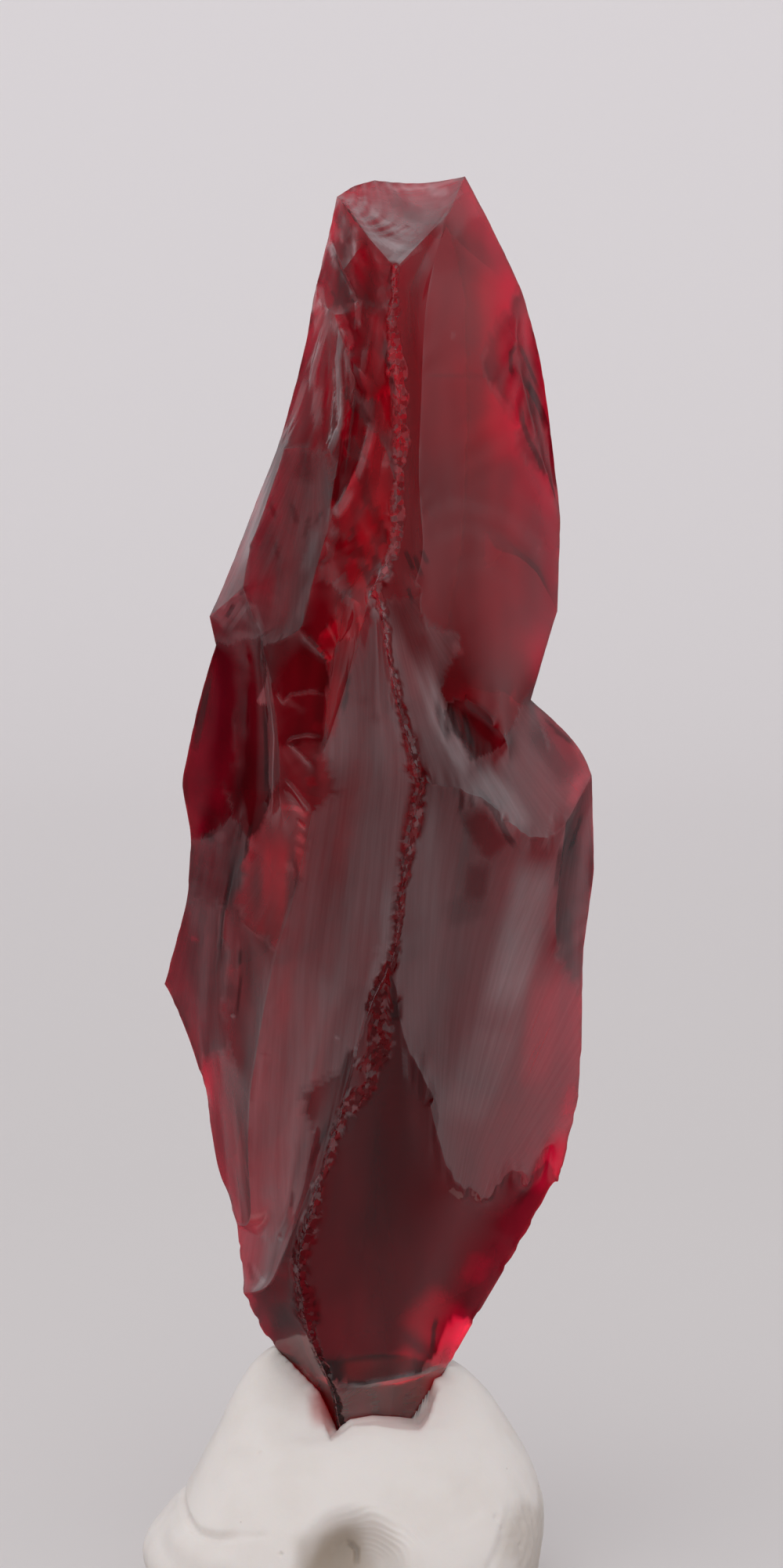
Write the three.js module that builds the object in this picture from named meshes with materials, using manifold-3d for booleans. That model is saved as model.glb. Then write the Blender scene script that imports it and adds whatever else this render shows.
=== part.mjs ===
// Andara crystal: one shard of deep red glass, broken on every side into curved scars, that stands on end
// in a lump of white mounting putty.
//
// Units are millimetres and +Z is up. The front is the side towards -Y, and the origin lies under the
// middle of the object, on the surface that the putty rests on.

import Module from 'manifold-3d';
import * as THREE from 'three';
import { mergeVertices } from 'three/addons/utils/BufferGeometryUtils.js';

// ---------------------------------------------------------------------------
// Driving dimensions
// ---------------------------------------------------------------------------

// Times that every side of a cell of the shard is halved.
const SHARD_LEVELS = 2;
// Rounds of smoothing that settle the hollow of each scar.
const DISH_ROUNDS = 300;
// Air left between the glass and the putty that grips it.
const GRIP_GAP = 0.45;
// Columns around the putty, and rows from its crown down to its base.
const PUTTY_COLUMNS = 40;
const PUTTY_ROWS = 18;

const GLASS_COLOUR = 0x6a1720;
const PUTTY_COLOUR = 0xdcd5cd;

// ---------------------------------------------------------------------------
// The shard
// ---------------------------------------------------------------------------

// Corners of the shard, as [x, y, z]. They lie where three or more scars meet, where an arris turns, and
// at a few low points inside the wide scars.
const CORNERS = {
  // rim of the broken top
  topLeft: [-1.8, 0.6, 89.7],
  topBend: [-0.7, 1.4, 90.5],
  topMidLeft: [0.6, 2.2, 90.8],
  topMidRight: [3.5, 2.8, 90.5],
  topRight: [6.3, 1.2, 91.0],
  // front edge of the top platform
  capLeft: [-0.9, -2.0, 88.7],
  capKnee: [0.2, -3.6, 87.0],
  capTip: [1.9, -5.4, 85.0],
  capRight1: [3.3, -4.2, 86.5],
  capRight2: [5.2, -2.1, 88.5],
  // middle arris, from the top down
  ridge1: [1.6, -6.2, 81.5],
  ridge2: [2.3, -6.8, 76.4],
  ridge3: [2.0, -7.1, 71.6],
  ridge4: [1.9, -7.5, 67.8],
  ridge5: [0.7, -8.2, 65.9],
  ridge6: [1.3, -8.6, 61.5],
  ridge7: [2.2, -8.9, 57.5],
  ridge8: [3.4, -9.2, 53.3],
  ridge9: [2.5, -9.2, 48.9],
  ridge10: [1.9, -9.0, 42.8],
  ridge11: [0.0, -8.6, 39.1],
  ridge12: [-0.9, -8.0, 34.3],
  ridge13: [-2.9, -7.0, 28.2],
  ridge14: [-4.3, -5.9, 22.8],
  ridge15: [-3.9, -4.9, 18.0],
  ridge16: [-2.1, -3.9, 14.0],
  // right outline, from the top down
  right1: [8.0, 1.0, 87.9],
  right2: [9.9, 0.4, 83.8],
  right3: [11.2, 0.2, 79.4],
  right4: [11.8, 0.2, 74.4],
  right5: [12.4, 0.2, 69.5],
  right6: [12.2, 0.0, 63.5],
  right7: [10.5, -0.8, 57.9],
  right8: [13.7, 1.0, 55.0],
  right9: [14.5, 1.4, 52.9],
  right10: [14.7, 1.6, 46.8],
  right11: [14.0, 2.0, 41.4],
  right12: [13.9, 1.8, 32.9],
  right13: [13.2, 1.5, 29.4],
  right14: [11.5, 1.2, 25.1],
  right15: [8.9, 0.8, 20.8],
  right16: [6.4, 0.4, 16.6],
  right17: [5.3, 0.2, 14.6],
  right18: [3.7, 0.4, 11.3],
  // left outline, from the top down
  left1: [-2.3, 0.8, 87.4],
  left2: [-3.3, 0.5, 83.4],
  left3: [-3.8, 0.2, 80.0],
  left4: [-5.5, 0.2, 74.1],
  left5: [-7.1, 0.3, 70.1],
  left6: [-8.6, -0.2, 66.1],
  left7: [-9.9, -0.8, 63.2],
  left8: [-9.5, -1.0, 61.4],
  left9: [-10.7, -1.3, 57.5],
  left10: [-11.7, -1.5, 52.6],
  left11: [-11.1, -1.2, 49.2],
  left12: [-11.4, -0.6, 45.0],
  left13: [-12.9, -0.2, 39.6],
  left14: [-11.5, 0.2, 36.7],
  left15: [-10.4, 0.6, 32.8],
  left16: [-9.6, 0.4, 27.8],
  left17: [-8.3, 0.2, 23.9],
  left18: [-7.9, 0.0, 19.5],
  left19: [-6.6, -0.2, 16.9],
  left20: [-4.6, -0.4, 14.6],
  left21: [-2.7, -0.6, 11.5],
  // tip that is buried in the putty
  footFront: [-1.5, -2.6, 9.9],
  footBack: [0.1, 2.4, 8.2],
  // upper left scars
  bevelFoot: [-1.4, -2.6, 85.0],
  pitFoot: [0.0, -4.4, 82.3],
  scarTop: [-1.9, -3.0, 82.2],
  scarRight: [-0.8, -5.2, 78.7],
  scarFoot: [-1.7, -5.3, 73.3],
  scarNick: [-3.3, -3.2, 74.0],
  streakTop: [0.6, -6.2, 75.6],
  streakMid: [-0.9, -5.9, 71.9],
  streakFoot: [-2.4, -5.4, 68.6],
  waist: [-1.9, -5.8, 67.2],
  hollowLeft: [-3.1, -5.2, 66.3],
  hollowFoot: [-4.0, -4.9, 62.6],
  heelFoot: [-6.0, -3.6, 61.4],
  heelLeft: [-7.7, -2.4, 65.1],
  hollowRight: [-1.3, -5.9, 64.9],
  stepRight: [-2.1, -5.5, 60.9],
  fluteTop: [0.1, -8.0, 64.1],
  // left side of the long flute
  fluteLeft1: [-1.8, -5.8, 61.7],
  fluteLeft2: [-2.4, -5.6, 57.8],
  fluteLeft3: [-2.7, -5.8, 54.6],
  fluteLeft4: [-3.4, -5.7, 50.5],
  fluteLeft5: [-4.3, -5.6, 46.2],
  fluteLeft6: [-5.6, -5.2, 42.3],
  fluteLeft7: [-6.5, -4.6, 38.3],
  fluteLeft8: [-7.3, -3.8, 33.3],
  fluteLeft9: [-7.6, -3.0, 28.6],
  fluteLeft10: [-7.1, -2.4, 24.1],
  // small steps and ribs left of the flute
  step1: [-5.3, -4.8, 58.1],
  step2: [-4.9, -5.0, 55.6],
  step3: [-5.0, -5.0, 53.1],
  ribTop: [-6.6, -2.6, 61.9],
  rib1: [-5.9, -4.6, 59.2],
  rib2: [-5.4, -4.8, 55.1],
  rib3: [-5.4, -4.9, 51.9],
  rib4: [-7.6, -2.9, 48.4],
  rib5: [-8.8, -2.4, 44.7],
  rib6: [-9.5, -1.6, 40.4],
  rib7: [-9.5, -1.0, 36.0],
  // blunt left edge, rib beside the window and bevel of the flute
  glint1: [-5.1, -1.6, 73.8],
  glint2: [-6.4, -1.5, 69.9],
  glint3: [-7.4, -1.5, 67.4],
  ribLeft1: [-6.3, -2.8, 59.1],
  ribLeft2: [-6.1, -2.9, 55.0],
  ribLeft3: [-6.1, -3.1, 51.9],
  fluteBevel1: [-0.7, -7.4, 61.0],
  fluteBevel2: [-1.4, -6.9, 58.4],
  // thin window at the left edge
  ruby1: [-7.9, -1.9, 62.6],
  ruby2: [-7.3, -2.1, 60.5],
  ruby3: [-7.5, -2.2, 56.9],
  ruby4: [-7.6, -2.3, 52.5],
  ruby5: [-8.7, -2.1, 50.1],
  ruby6: [-10.0, -1.6, 48.9],
  // crushed band beside the lower arris
  bandTop: [0.4, -8.2, 40.6],
  band1: [-0.5, -7.8, 38.1],
  band2: [-1.5, -7.2, 34.8],
  band3: [-2.4, -6.6, 31.3],
  band4: [-3.5, -5.9, 27.3],
  band5: [-5.4, -4.6, 22.5],
  band6: [-6.2, -3.6, 20.3],
  // narrow facet beside the upper arris
  strip1: [4.0, -6.0, 84.6],
  strip2: [3.6, -6.6, 81.5],
  strip3: [3.5, -7.0, 76.4],
  strip4: [3.2, -7.3, 71.6],
  strip5: [3.8, -7.3, 67.6],
  // broad upper right scar and the chip in its edge
  face1: [6.7, -3.4, 85.4],
  face2: [7.1, -3.9, 78.9],
  face3: [7.4, -4.0, 72.5],
  face4: [7.1, -4.5, 66.7],
  chipTop: [9.3, -1.7, 80.7],
  chipMid: [10.2, -1.3, 76.9],
  chipFoot: [11.4, -0.7, 72.5],
  // brow over the shelf
  brow1: [3.1, -7.6, 65.7],
  brow2: [3.9, -6.9, 61.2],
  brow3: [4.7, -6.4, 58.7],
  brow4: [6.8, -5.6, 58.3],
  brow5: [8.6, -4.7, 56.4],
  brow6: [9.0, -4.6, 55.1],
  brow7: [7.1, -5.6, 54.6],
  // shelf
  shelf1: [6.5, -7.6, 53.1],
  shelf2: [8.5, -6.4, 51.1],
  shelf3: [10.6, -4.6, 49.0],
  shelf4: [12.7, -2.4, 50.1],
  // great scoop and its lower lip
  slope1: [6.1, -6.0, 45.6],
  slope2: [10.0, -3.0, 42.8],
  slope3: [4.6, -6.4, 39.3],
  slope4: [9.1, -3.6, 35.4],
  slope5: [11.6, -1.2, 41.1],
  lip1: [2.2, -7.4, 36.7],
  lip2: [3.9, -6.8, 35.8],
  lip3: [4.3, -6.2, 29.8],
  lip4: [6.7, -4.2, 27.0],
  lip5: [9.3, -2.2, 27.2],
  lip6: [11.7, -0.2, 29.5],
  // lower right scar
  lower1: [0.2, -6.0, 28.3],
  lower2: [0.7, -5.2, 21.1],
  lower3: [4.6, -3.2, 20.7],
  hem1: [0.7, -4.0, 14.5],
  hem2: [3.2, -2.4, 14.6],
  // back
  back1: [2.7, 5.0, 85.9],
  back2: [3.9, 6.2, 76.4],
  back3: [2.7, 7.2, 67.2],
  back4: [1.6, 7.6, 59.0],
  back5: [3.7, 8.4, 51.2],
  back6: [1.6, 8.2, 42.5],
  back7: [0.1, 7.8, 34.2],
  back8: [-0.7, 6.8, 26.0],
  back9: [0.0, 5.2, 18.0],
  back10: [0.3, 3.6, 11.5],
  backR1: [8.7, 4.4, 67.3],
  backR2: [8.8, 4.8, 55.7],
  backR3: [9.8, 5.2, 42.8],
  backR4: [8.3, 4.2, 30.6],
  backR5: [4.7, 3.0, 19.4],
  backL1: [-2.4, 4.6, 72.4],
  backL2: [-4.9, 5.0, 61.2],
  backL3: [-7.0, 5.2, 51.5],
  backL4: [-7.1, 5.6, 40.2],
  backL5: [-5.5, 4.4, 28.5],
  backL6: [-2.9, 3.0, 18.9],
};

// The scars, each with the depth of its hollow and its cells. A cell is a loop of corners that runs
// counter-clockwise seen from outside. A side shared by two cells of one scar is smooth, and a side
// between two scars is a sharp arris.
const SCARS = {
  platform: {
    dish: 0.5,
    cells: [
      'topLeft capLeft capKnee topMidLeft topBend',
      'topMidLeft capKnee capTip capRight1 topMidRight',
      'topMidRight capRight1 capRight2 topRight',
    ],
  },
  strip: {
    dish: 0.08,
    cells: [
      'capTip ridge1 strip2 strip1 capRight2 capRight1',
      'ridge1 ridge2 strip3 strip2',
      'ridge2 ridge3 strip4 strip3',
      'ridge3 ridge4 strip5 strip4',
      'ridge4 brow1 strip5',
    ],
  },
  broadFace: {
    dish: 0.1,
    cells: [
      'capRight2 strip1 face1 right1 topRight',
      'strip1 strip2 face2 face1',
      'face1 face2 chipTop right2 right1',
      'strip2 strip3 face3 face2',
      'face2 face3 chipFoot chipMid chipTop',
      'strip3 strip4 strip5 face4 face3',
      'strip5 brow1 brow2 face4',
      'face3 face4 right6 right5 chipFoot',
      'face4 brow2 brow3 brow4',
      'face4 brow4 brow5 brow6 right7 right6',
    ],
  },
  edgeChip: {
    dish: 0.25,
    cells: [
      'chipTop chipMid right3 right2',
      'chipMid chipFoot right5 right4 right3',
    ],
  },
  redChip: {
    dish: 0.2,
    cells: [
      'brow3 brow7 brow6 brow5 brow4',
    ],
  },
  shelf: {
    dish: 0.3,
    cells: [
      'ridge4 ridge5 ridge6 brow2 brow1',
      'ridge6 ridge7 ridge8 shelf1 brow7 brow3 brow2',
      'brow7 shelf1 shelf2 brow6',
      'brow6 shelf2 shelf3 shelf4 right9 right8 right7',
    ],
  },
  greatScoop: {
    dish: 0.6,
    cells: [
      'ridge8 ridge9 slope1 shelf1',
      'shelf1 slope1 slope2 shelf3 shelf2',
      'shelf3 slope2 slope5 shelf4',
      'ridge9 ridge10 lip1 slope3 slope1',
      'slope1 slope3 slope4 slope2',
      'slope3 lip1 lip2 lip3 lip4 slope4',
      'slope2 slope4 right12 right11 slope5',
      'slope4 lip4 lip5 lip6 right13 right12',
    ],
  },
  rightChip: {
    dish: 0.3,
    cells: [
      'shelf4 slope5 right11 right10 right9',
    ],
  },
  lowerFace: {
    dish: 0.5,
    cells: [
      'ridge10 ridge11 ridge12 lower1 lip1',
      'lip1 lower1 lip3 lip2',
      'ridge12 ridge13 ridge14 lower2 lower1',
      'lower1 lower2 lower3 lip4 lip3',
      'lip4 lower3 right15 right14 lip5',
      'lip5 right14 right13 lip6',
      'ridge14 ridge15 ridge16 hem1 lower2',
      'lower2 hem1 hem2 lower3',
      'lower3 hem2 right17 right16 right15',
    ],
  },
  hem: {
    dish: 0.15,
    cells: [
      'ridge16 footFront hem1',
      'hem1 footFront right18 right17 hem2',
    ],
  },
  bevel: {
    dish: 0.2,
    cells: [
      'topLeft left1 bevelFoot capKnee capLeft',
    ],
  },
  pit: {
    dish: 0.3,
    cells: [
      'capKnee bevelFoot pitFoot ridge1 capTip',
    ],
  },
  bevelLow: {
    dish: 0.2,
    cells: [
      'left1 left2 scarTop pitFoot bevelFoot',
    ],
  },
  scar: {
    dish: 0.45,
    cells: [
      'left2 left3 left4 glint1 scarNick scarTop',
      'scarTop scarNick scarFoot scarRight',
    ],
  },
  long1: {
    dish: 0.35,
    cells: [
      'pitFoot scarTop scarRight streakTop ridge1',
    ],
  },
  long2: {
    dish: 0.15,
    cells: [
      'scarRight scarFoot streakMid streakTop',
    ],
  },
  long3: {
    dish: 0.3,
    cells: [
      'ridge1 streakTop ridge3 ridge2',
      'streakTop streakMid streakFoot waist ridge3',
    ],
  },
  glint: {
    dish: 0.05,
    cells: [
      'left4 left5 glint2 glint1',
      'left5 left6 glint3 glint2',
      'left6 left7 heelLeft glint3',
    ],
  },
  heel: {
    dish: 0.45,
    cells: [
      'glint1 glint2 streakFoot scarFoot scarNick',
      'glint2 glint3 heelLeft streakFoot',
      'heelLeft ribTop hollowLeft streakFoot',
      'ribTop heelFoot hollowFoot hollowLeft',
    ],
  },
  heelWedge: {
    dish: 0.1,
    cells: [
      'scarFoot streakFoot streakMid',
    ],
  },
  wedge2: {
    dish: 0.15,
    cells: [
      'streakFoot hollowLeft waist',
    ],
  },
  hollow: {
    dish: 0.15,
    cells: [
      'hollowLeft hollowFoot stepRight hollowRight waist',
    ],
  },
  cheek: {
    dish: 0.25,
    cells: [
      'waist hollowRight ridge4 ridge3',
      'hollowRight fluteTop ridge5 ridge4',
    ],
  },
  cheekLow: {
    dish: 0.2,
    cells: [
      'hollowRight stepRight fluteLeft1 fluteTop',
    ],
  },
  nub: {
    dish: 0.15,
    cells: [
      'heelLeft left7 ruby1',
      'left7 left8 ruby1',
      'heelLeft ruby1 ribTop',
    ],
  },
  ruby: {
    dish: 0.3,
    cells: [
      'ruby1 left8 left9 ruby3 ruby2',
      'ruby3 left9 left10 left11 ruby6 ruby5 ruby4',
    ],
  },
  rubyStrip: {
    dish: 0.15,
    cells: [
      'ribTop ruby1 ruby2 ribLeft1',
      'ribLeft1 ruby2 ruby3 ribLeft2',
      'ribLeft2 ruby3 ruby4 ribLeft3',
      'ribLeft3 ruby4 rib4',
    ],
  },
  rib: {
    dish: 0.05,
    cells: [
      'ribTop ribLeft1 rib1',
      'ribLeft1 ribLeft2 rib2 rib1',
      'ribLeft2 ribLeft3 rib3 rib2',
    ],
  },
  step1: {
    dish: 0.12,
    cells: [
      'ribTop rib1 heelFoot',
      'heelFoot rib1 step1 hollowFoot',
      'hollowFoot step1 fluteLeft2 stepRight',
      'stepRight fluteLeft2 fluteLeft1',
    ],
  },
  step2: {
    dish: 0.12,
    cells: [
      'step1 rib1 rib2 step2 fluteLeft3 fluteLeft2',
    ],
  },
  step3: {
    dish: 0.12,
    cells: [
      'step2 rib2 rib3 step3 fluteLeft4 fluteLeft3',
    ],
  },
  ember: {
    dish: 0.3,
    cells: [
      'step3 rib3 fluteLeft5 fluteLeft4',
      'rib3 ribLeft3 rib4 rib5 fluteLeft6 fluteLeft5',
    ],
  },
  lowStrip: {
    dish: 0.3,
    cells: [
      'ruby4 ruby5 rib5 rib4',
      'ruby5 ruby6 left11 left12 rib5',
    ],
  },
  lowLeft1: {
    dish: 0.4,
    cells: [
      'rib5 left12 left13 rib6',
      'rib6 left13 left14 left15 rib7',
    ],
  },
  lowLeft2: {
    dish: 0.4,
    cells: [
      'rib5 rib6 fluteLeft7 fluteLeft6',
      'rib6 rib7 fluteLeft8 fluteLeft7',
    ],
  },
  lowLeft3: {
    dish: 0.3,
    cells: [
      'rib7 left15 left16 fluteLeft9 fluteLeft8',
      'fluteLeft9 left16 left17 fluteLeft10',
    ],
  },
  flute: {
    dish: 0.9,
    cells: [
      'ridge5 fluteTop fluteBevel1 ridge6',
      'ridge6 fluteBevel1 fluteBevel2 ridge7',
      'ridge7 fluteBevel2 fluteLeft3 ridge8',
      'ridge8 fluteLeft3 fluteLeft4 fluteLeft5 ridge9',
      'ridge9 fluteLeft5 fluteLeft6 ridge10',
      'ridge10 fluteLeft6 fluteLeft7 band1 bandTop',
      'band1 fluteLeft7 fluteLeft8 band2',
      'band2 fluteLeft8 fluteLeft9 band3',
      'band3 fluteLeft9 fluteLeft10 band4',
      'band4 fluteLeft10 left17 band5',
      'band5 left17 left18 band6',
    ],
  },
  fluteBevel: {
    dish: 0.1,
    cells: [
      'fluteTop fluteLeft1 fluteBevel1',
      'fluteBevel1 fluteLeft1 fluteLeft2 fluteBevel2',
      'fluteBevel2 fluteLeft2 fluteLeft3',
    ],
  },
  band: {
    dish: 0.1,
    cells: [
      'ridge10 bandTop band1 ridge11',
      'ridge11 band1 band2 ridge12',
      'ridge12 band2 band3 ridge13',
      'ridge13 band3 band4',
      'ridge13 band4 band5 ridge14',
    ],
  },
  toe: {
    dish: 0.25,
    cells: [
      'ridge14 band5 band6 ridge15',
      'band6 left18 left19 ridge15',
      'ridge15 left19 left20 ridge16',
      'ridge16 left20 left21',
    ],
  },
  toeLow: {
    dish: 0.1,
    cells: [
      'ridge16 left21 footFront',
    ],
  },
  backTop: {
    dish: 0.5,
    cells: [
      'topMidRight topRight right1 right2 back1',
      'topMidLeft topMidRight back1',
    ],
  },
  backTopLeft: {
    dish: 0.4,
    cells: [
      'topLeft topBend topMidLeft back1 left2 left1',
    ],
  },
  backUpper: {
    dish: 0.9,
    cells: [
      'back1 right2 right3 right4 back2',
      'back2 right4 right5 right6 backR1 back3',
    ],
  },
  backUpperLeft: {
    dish: 0.7,
    cells: [
      'left2 back1 back2 backL1 left4 left3',
      'back2 back3 backL1',
    ],
  },
  backNotch: {
    dish: 0.6,
    cells: [
      'back3 backR1 right6 right7 backR2 back4',
    ],
  },
  backMidRight: {
    dish: 0.9,
    cells: [
      'back4 backR2 back5',
      'backR2 right7 right8 right9 right10 backR3',
      'back5 backR2 backR3 back6',
    ],
  },
  backWaist: {
    dish: 0.8,
    cells: [
      'backL1 back3 back4 backL2',
      'left4 backL1 backL2 left7 left6 left5',
    ],
  },
  backHip: {
    dish: 0.8,
    cells: [
      'backL2 back4 back5 backL3',
      'left7 backL2 backL3 left10 left9 left8',
    ],
  },
  backLowerRight: {
    dish: 0.9,
    cells: [
      'backR3 right10 right11 right12 backR4',
      'back6 backR3 backR4 back7',
    ],
  },
  backLowerLeft: {
    dish: 0.9,
    cells: [
      'backL3 back5 back6 backL4',
      'left10 backL3 backL4 left13 left12 left11',
    ],
  },
  backShin: {
    dish: 0.8,
    cells: [
      'backR4 right12 right13 right14 right15 backR5',
      'back7 backR4 backR5 back9 back8',
    ],
  },
  backCalf: {
    dish: 0.8,
    cells: [
      'backL4 back6 back7 backL5',
      'left13 backL4 backL5 left16 left15 left14',
    ],
  },
  backHeelRight: {
    dish: 0.4,
    cells: [
      'backR5 right15 right16 right17 right18 back10 back9',
    ],
  },
  backHeelLeft: {
    dish: 0.5,
    cells: [
      'backL5 back7 back8 back9 backL6',
      'left16 backL5 backL6 left19 left18 left17',
    ],
  },
  backToe: {
    dish: 0.3,
    cells: [
      'backL6 back9 back10 left21 left20 left19',
    ],
  },
  sole: {
    dish: 0.1,
    cells: [
      'footFront left21 footBack',
      'left21 back10 footBack',
      'back10 right18 footBack',
      'right18 footFront footBack',
    ],
  },
};

// A cage holds points and cells, and each cell knows the scar that it belongs to.
function buildCage() {
  const names = Object.keys(CORNERS);
  const points = names.map((name) => new THREE.Vector3(...CORNERS[name]));
  const cells = [];
  for (const [scar, { cells: loops }] of Object.entries(SCARS)) {
    for (const loop of loops) {
      cells.push({ scar, loop: loop.split(' ').map((name) => names.indexOf(name)) });
    }
  }
  return { points, cells };
}

// Every side that two cells share. It is sharp, an arris, where the cells belong to different scars.
function findEdges(cells) {
  const edges = new Map();
  cells.forEach(({ scar, loop }, cell) => {
    loop.forEach((a, i) => {
      const b = loop[(i + 1) % loop.length];
      const key = a < b ? `${a} ${b}` : `${b} ${a}`;
      if (edges.has(key)) {
        const edge = edges.get(key);
        edge.cells.push(cell);
        edge.sharp = edge.scar !== scar;
      } else {
        edges.set(key, { ends: [a, b], cells: [cell], scar, sharp: false });
      }
    });
  });
  return edges;
}

function average(points) {
  const sum = new THREE.Vector3();
  for (const point of points) {
    sum.add(point);
  }
  return sum.divideScalar(points.length);
}

// One round of Catmull-Clark subdivision. Arrises stay sharp and bend smoothly along their length, and a
// corner where three or more arrises meet stays where it is.
function subdivide({ points, cells }) {
  const edges = findEdges(cells);
  const cellMiddles = cells.map(({ loop }) => average(loop.map((i) => points[i])));
  const around = points.map(() => ({ middles: [], neighbours: [], arris: [] }));
  cells.forEach(({ loop }, cell) => {
    for (const i of loop) {
      around[i].middles.push(cellMiddles[cell]);
    }
  });
  for (const { ends: [a, b], sharp } of edges.values()) {
    around[a].neighbours.push(points[b]);
    around[b].neighbours.push(points[a]);
    if (sharp) {
      around[a].arris.push(points[b]);
      around[b].arris.push(points[a]);
    }
  }

  const finer = points.map((point, i) => {
    const { middles, neighbours, arris } = around[i];
    if (arris.length > 2) {
      return point.clone();
    }
    if (arris.length === 2) {
      return point.clone().multiplyScalar(6).add(arris[0]).add(arris[1]).divideScalar(8);
    }
    const count = neighbours.length;
    return point.clone().multiplyScalar(count - 2)
      .add(average(neighbours))
      .add(average(middles))
      .divideScalar(count);
  });

  const edgePoint = new Map();
  for (const [key, { ends, cells: sides, sharp }] of edges) {
    const nearby = ends.map((i) => points[i]);
    if (!sharp) {
      nearby.push(...sides.map((cell) => cellMiddles[cell]));
    }
    edgePoint.set(key, finer.length);
    finer.push(average(nearby));
  }

  const quads = [];
  cells.forEach(({ scar, loop }, cell) => {
    const middle = finer.length;
    finer.push(cellMiddles[cell]);
    const sides = loop.map((a, i) => {
      const b = loop[(i + 1) % loop.length];
      return edgePoint.get(a < b ? `${a} ${b}` : `${b} ${a}`);
    });
    loop.forEach((corner, i) => {
      const before = sides[(i + loop.length - 1) % loop.length];
      quads.push({ scar, loop: [corner, sides[i], middle, before] });
    });
  });
  return { points: finer, cells: quads };
}

// A flake leaves a shallow bowl, steepest at its rim. Each scar is pushed in by the height of a film that
// is stretched over its outline and pressed evenly, scaled to the depth of that scar.
function dishScars({ points, cells }) {
  const onArris = new Set();
  const neighbours = points.map(() => []);
  for (const { ends: [a, b], sharp } of findEdges(cells).values()) {
    neighbours[a].push(b);
    neighbours[b].push(a);
    if (sharp) {
      onArris.add(a).add(b);
    }
  }

  const scarOf = new Map();
  const normals = points.map(() => new THREE.Vector3());
  for (const { scar, loop } of cells) {
    const [a, b, c, d] = loop.map((i) => points[i]);
    const across = new THREE.Vector3().subVectors(c, a).cross(new THREE.Vector3().subVectors(d, b));
    for (const i of loop) {
      normals[i].add(across);
      if (!onArris.has(i)) {
        scarOf.set(i, scar);
      }
    }
  }

  const height = points.map(() => 0);
  for (let round = 0; round < DISH_ROUNDS; round += 1) {
    for (const i of scarOf.keys()) {
      const sum = neighbours[i].reduce((total, j) => total + height[j], 0);
      height[i] = 1 + sum / neighbours[i].length;
    }
  }
  const deepest = {};
  for (const [i, scar] of scarOf) {
    deepest[scar] = Math.max(deepest[scar] ?? 0, height[i]);
  }
  for (const [i, scar] of scarOf) {
    const depth = SCARS[scar].dish * height[i] / deepest[scar];
    points[i].addScaledVector(normals[i].normalize(), -depth);
  }
}

// Splits each quad across its shorter diagonal.
function toGeometry({ points, cells }) {
  const index = [];
  for (const { loop: [a, b, c, d] } of cells) {
    if (points[a].distanceTo(points[c]) < points[b].distanceTo(points[d])) {
      index.push(a, b, c, a, c, d);
    } else {
      index.push(a, b, d, b, c, d);
    }
  }
  const geometry = new THREE.BufferGeometry().setFromPoints(points);
  geometry.setIndex(index);
  return geometry;
}

function makeShard() {
  let cage = buildCage();
  for (let level = 0; level < SHARD_LEVELS; level += 1) {
    cage = subdivide(cage);
  }
  dishScars(cage);
  return toGeometry(cage);
}

// ---------------------------------------------------------------------------
// The putty
// ---------------------------------------------------------------------------

// Rings of the lump from the crown, which is inside the glass, down to the base. Each ring has eight
// points: right, back right, back, back left, left, front left, front, front right.
const PUTTY_RINGS = {
  crown: [
    [2.4, 0, 14.4], [1.7, 1.3, 14.6], [0.4, 1.8, 14.6], [-0.9, 1.3, 14.6],
    [-1.5, 0, 14.4], [-0.9, -1.3, 13.6], [0.4, -1.8, 13.6], [1.7, -1.3, 13.8],
  ],
  lip: [
    [6.0, 0.4, 14.3], [4.5, 3.3, 15.0], [0.3, 5.0, 15.3], [-3.9, 3.5, 15.8],
    [-6.2, -0.3, 15.7], [-2.9, -4.1, 11.5], [0.8, -4.5, 12.4], [3.6, -2.8, 12.5],
  ],
  shoulder: [
    [7.6, 0.2, 13.0], [6.0, 4.6, 13.4], [0.2, 6.9, 13.6], [-5.4, 5.2, 13.9],
    [-8.2, -0.2, 13.6], [-6.2, -5.4, 10.8], [0.2, -6.8, 10.6], [5.0, -5.2, 10.9],
  ],
  flank: [
    [9.9, 0, 9.9], [7.6, 6.6, 9.8], [-0.2, 9.2, 9.8], [-7.5, 7.0, 10.0],
    [-9.9, -0.2, 10.2], [-8.8, -6.8, 8.0], [-0.8, -9.3, 7.2], [7.2, -7.3, 7.6],
  ],
  belly: [
    [11.4, 0, 6.2], [8.4, 8.0, 5.6], [-0.8, 10.9, 5.4], [-9.2, 8.2, 5.6],
    [-11.9, -0.4, 6.6], [-10.8, -7.8, 5.0], [-1.2, -10.9, 4.2], [8.2, -8.4, 4.6],
  ],
  foot: [
    [11.4, 0, 2.8], [8.4, 8.4, 2.2], [-1.0, 11.3, 2.0], [-9.8, 8.6, 2.2],
    [-14.4, -0.6, 3.6], [-12.0, -8.2, 2.2], [-1.2, -11.3, 2.0], [8.2, -8.8, 2.0],
  ],
  base: [
    [10.6, 0, 0], [7.8, 7.8, 0], [-1.0, 10.5, 0], [-9.2, 7.9, 0],
    [-13.2, -0.6, 0], [-11.2, -7.6, 0], [-1.2, -10.5, 0], [7.6, -8.1, 0],
  ],
};

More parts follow.
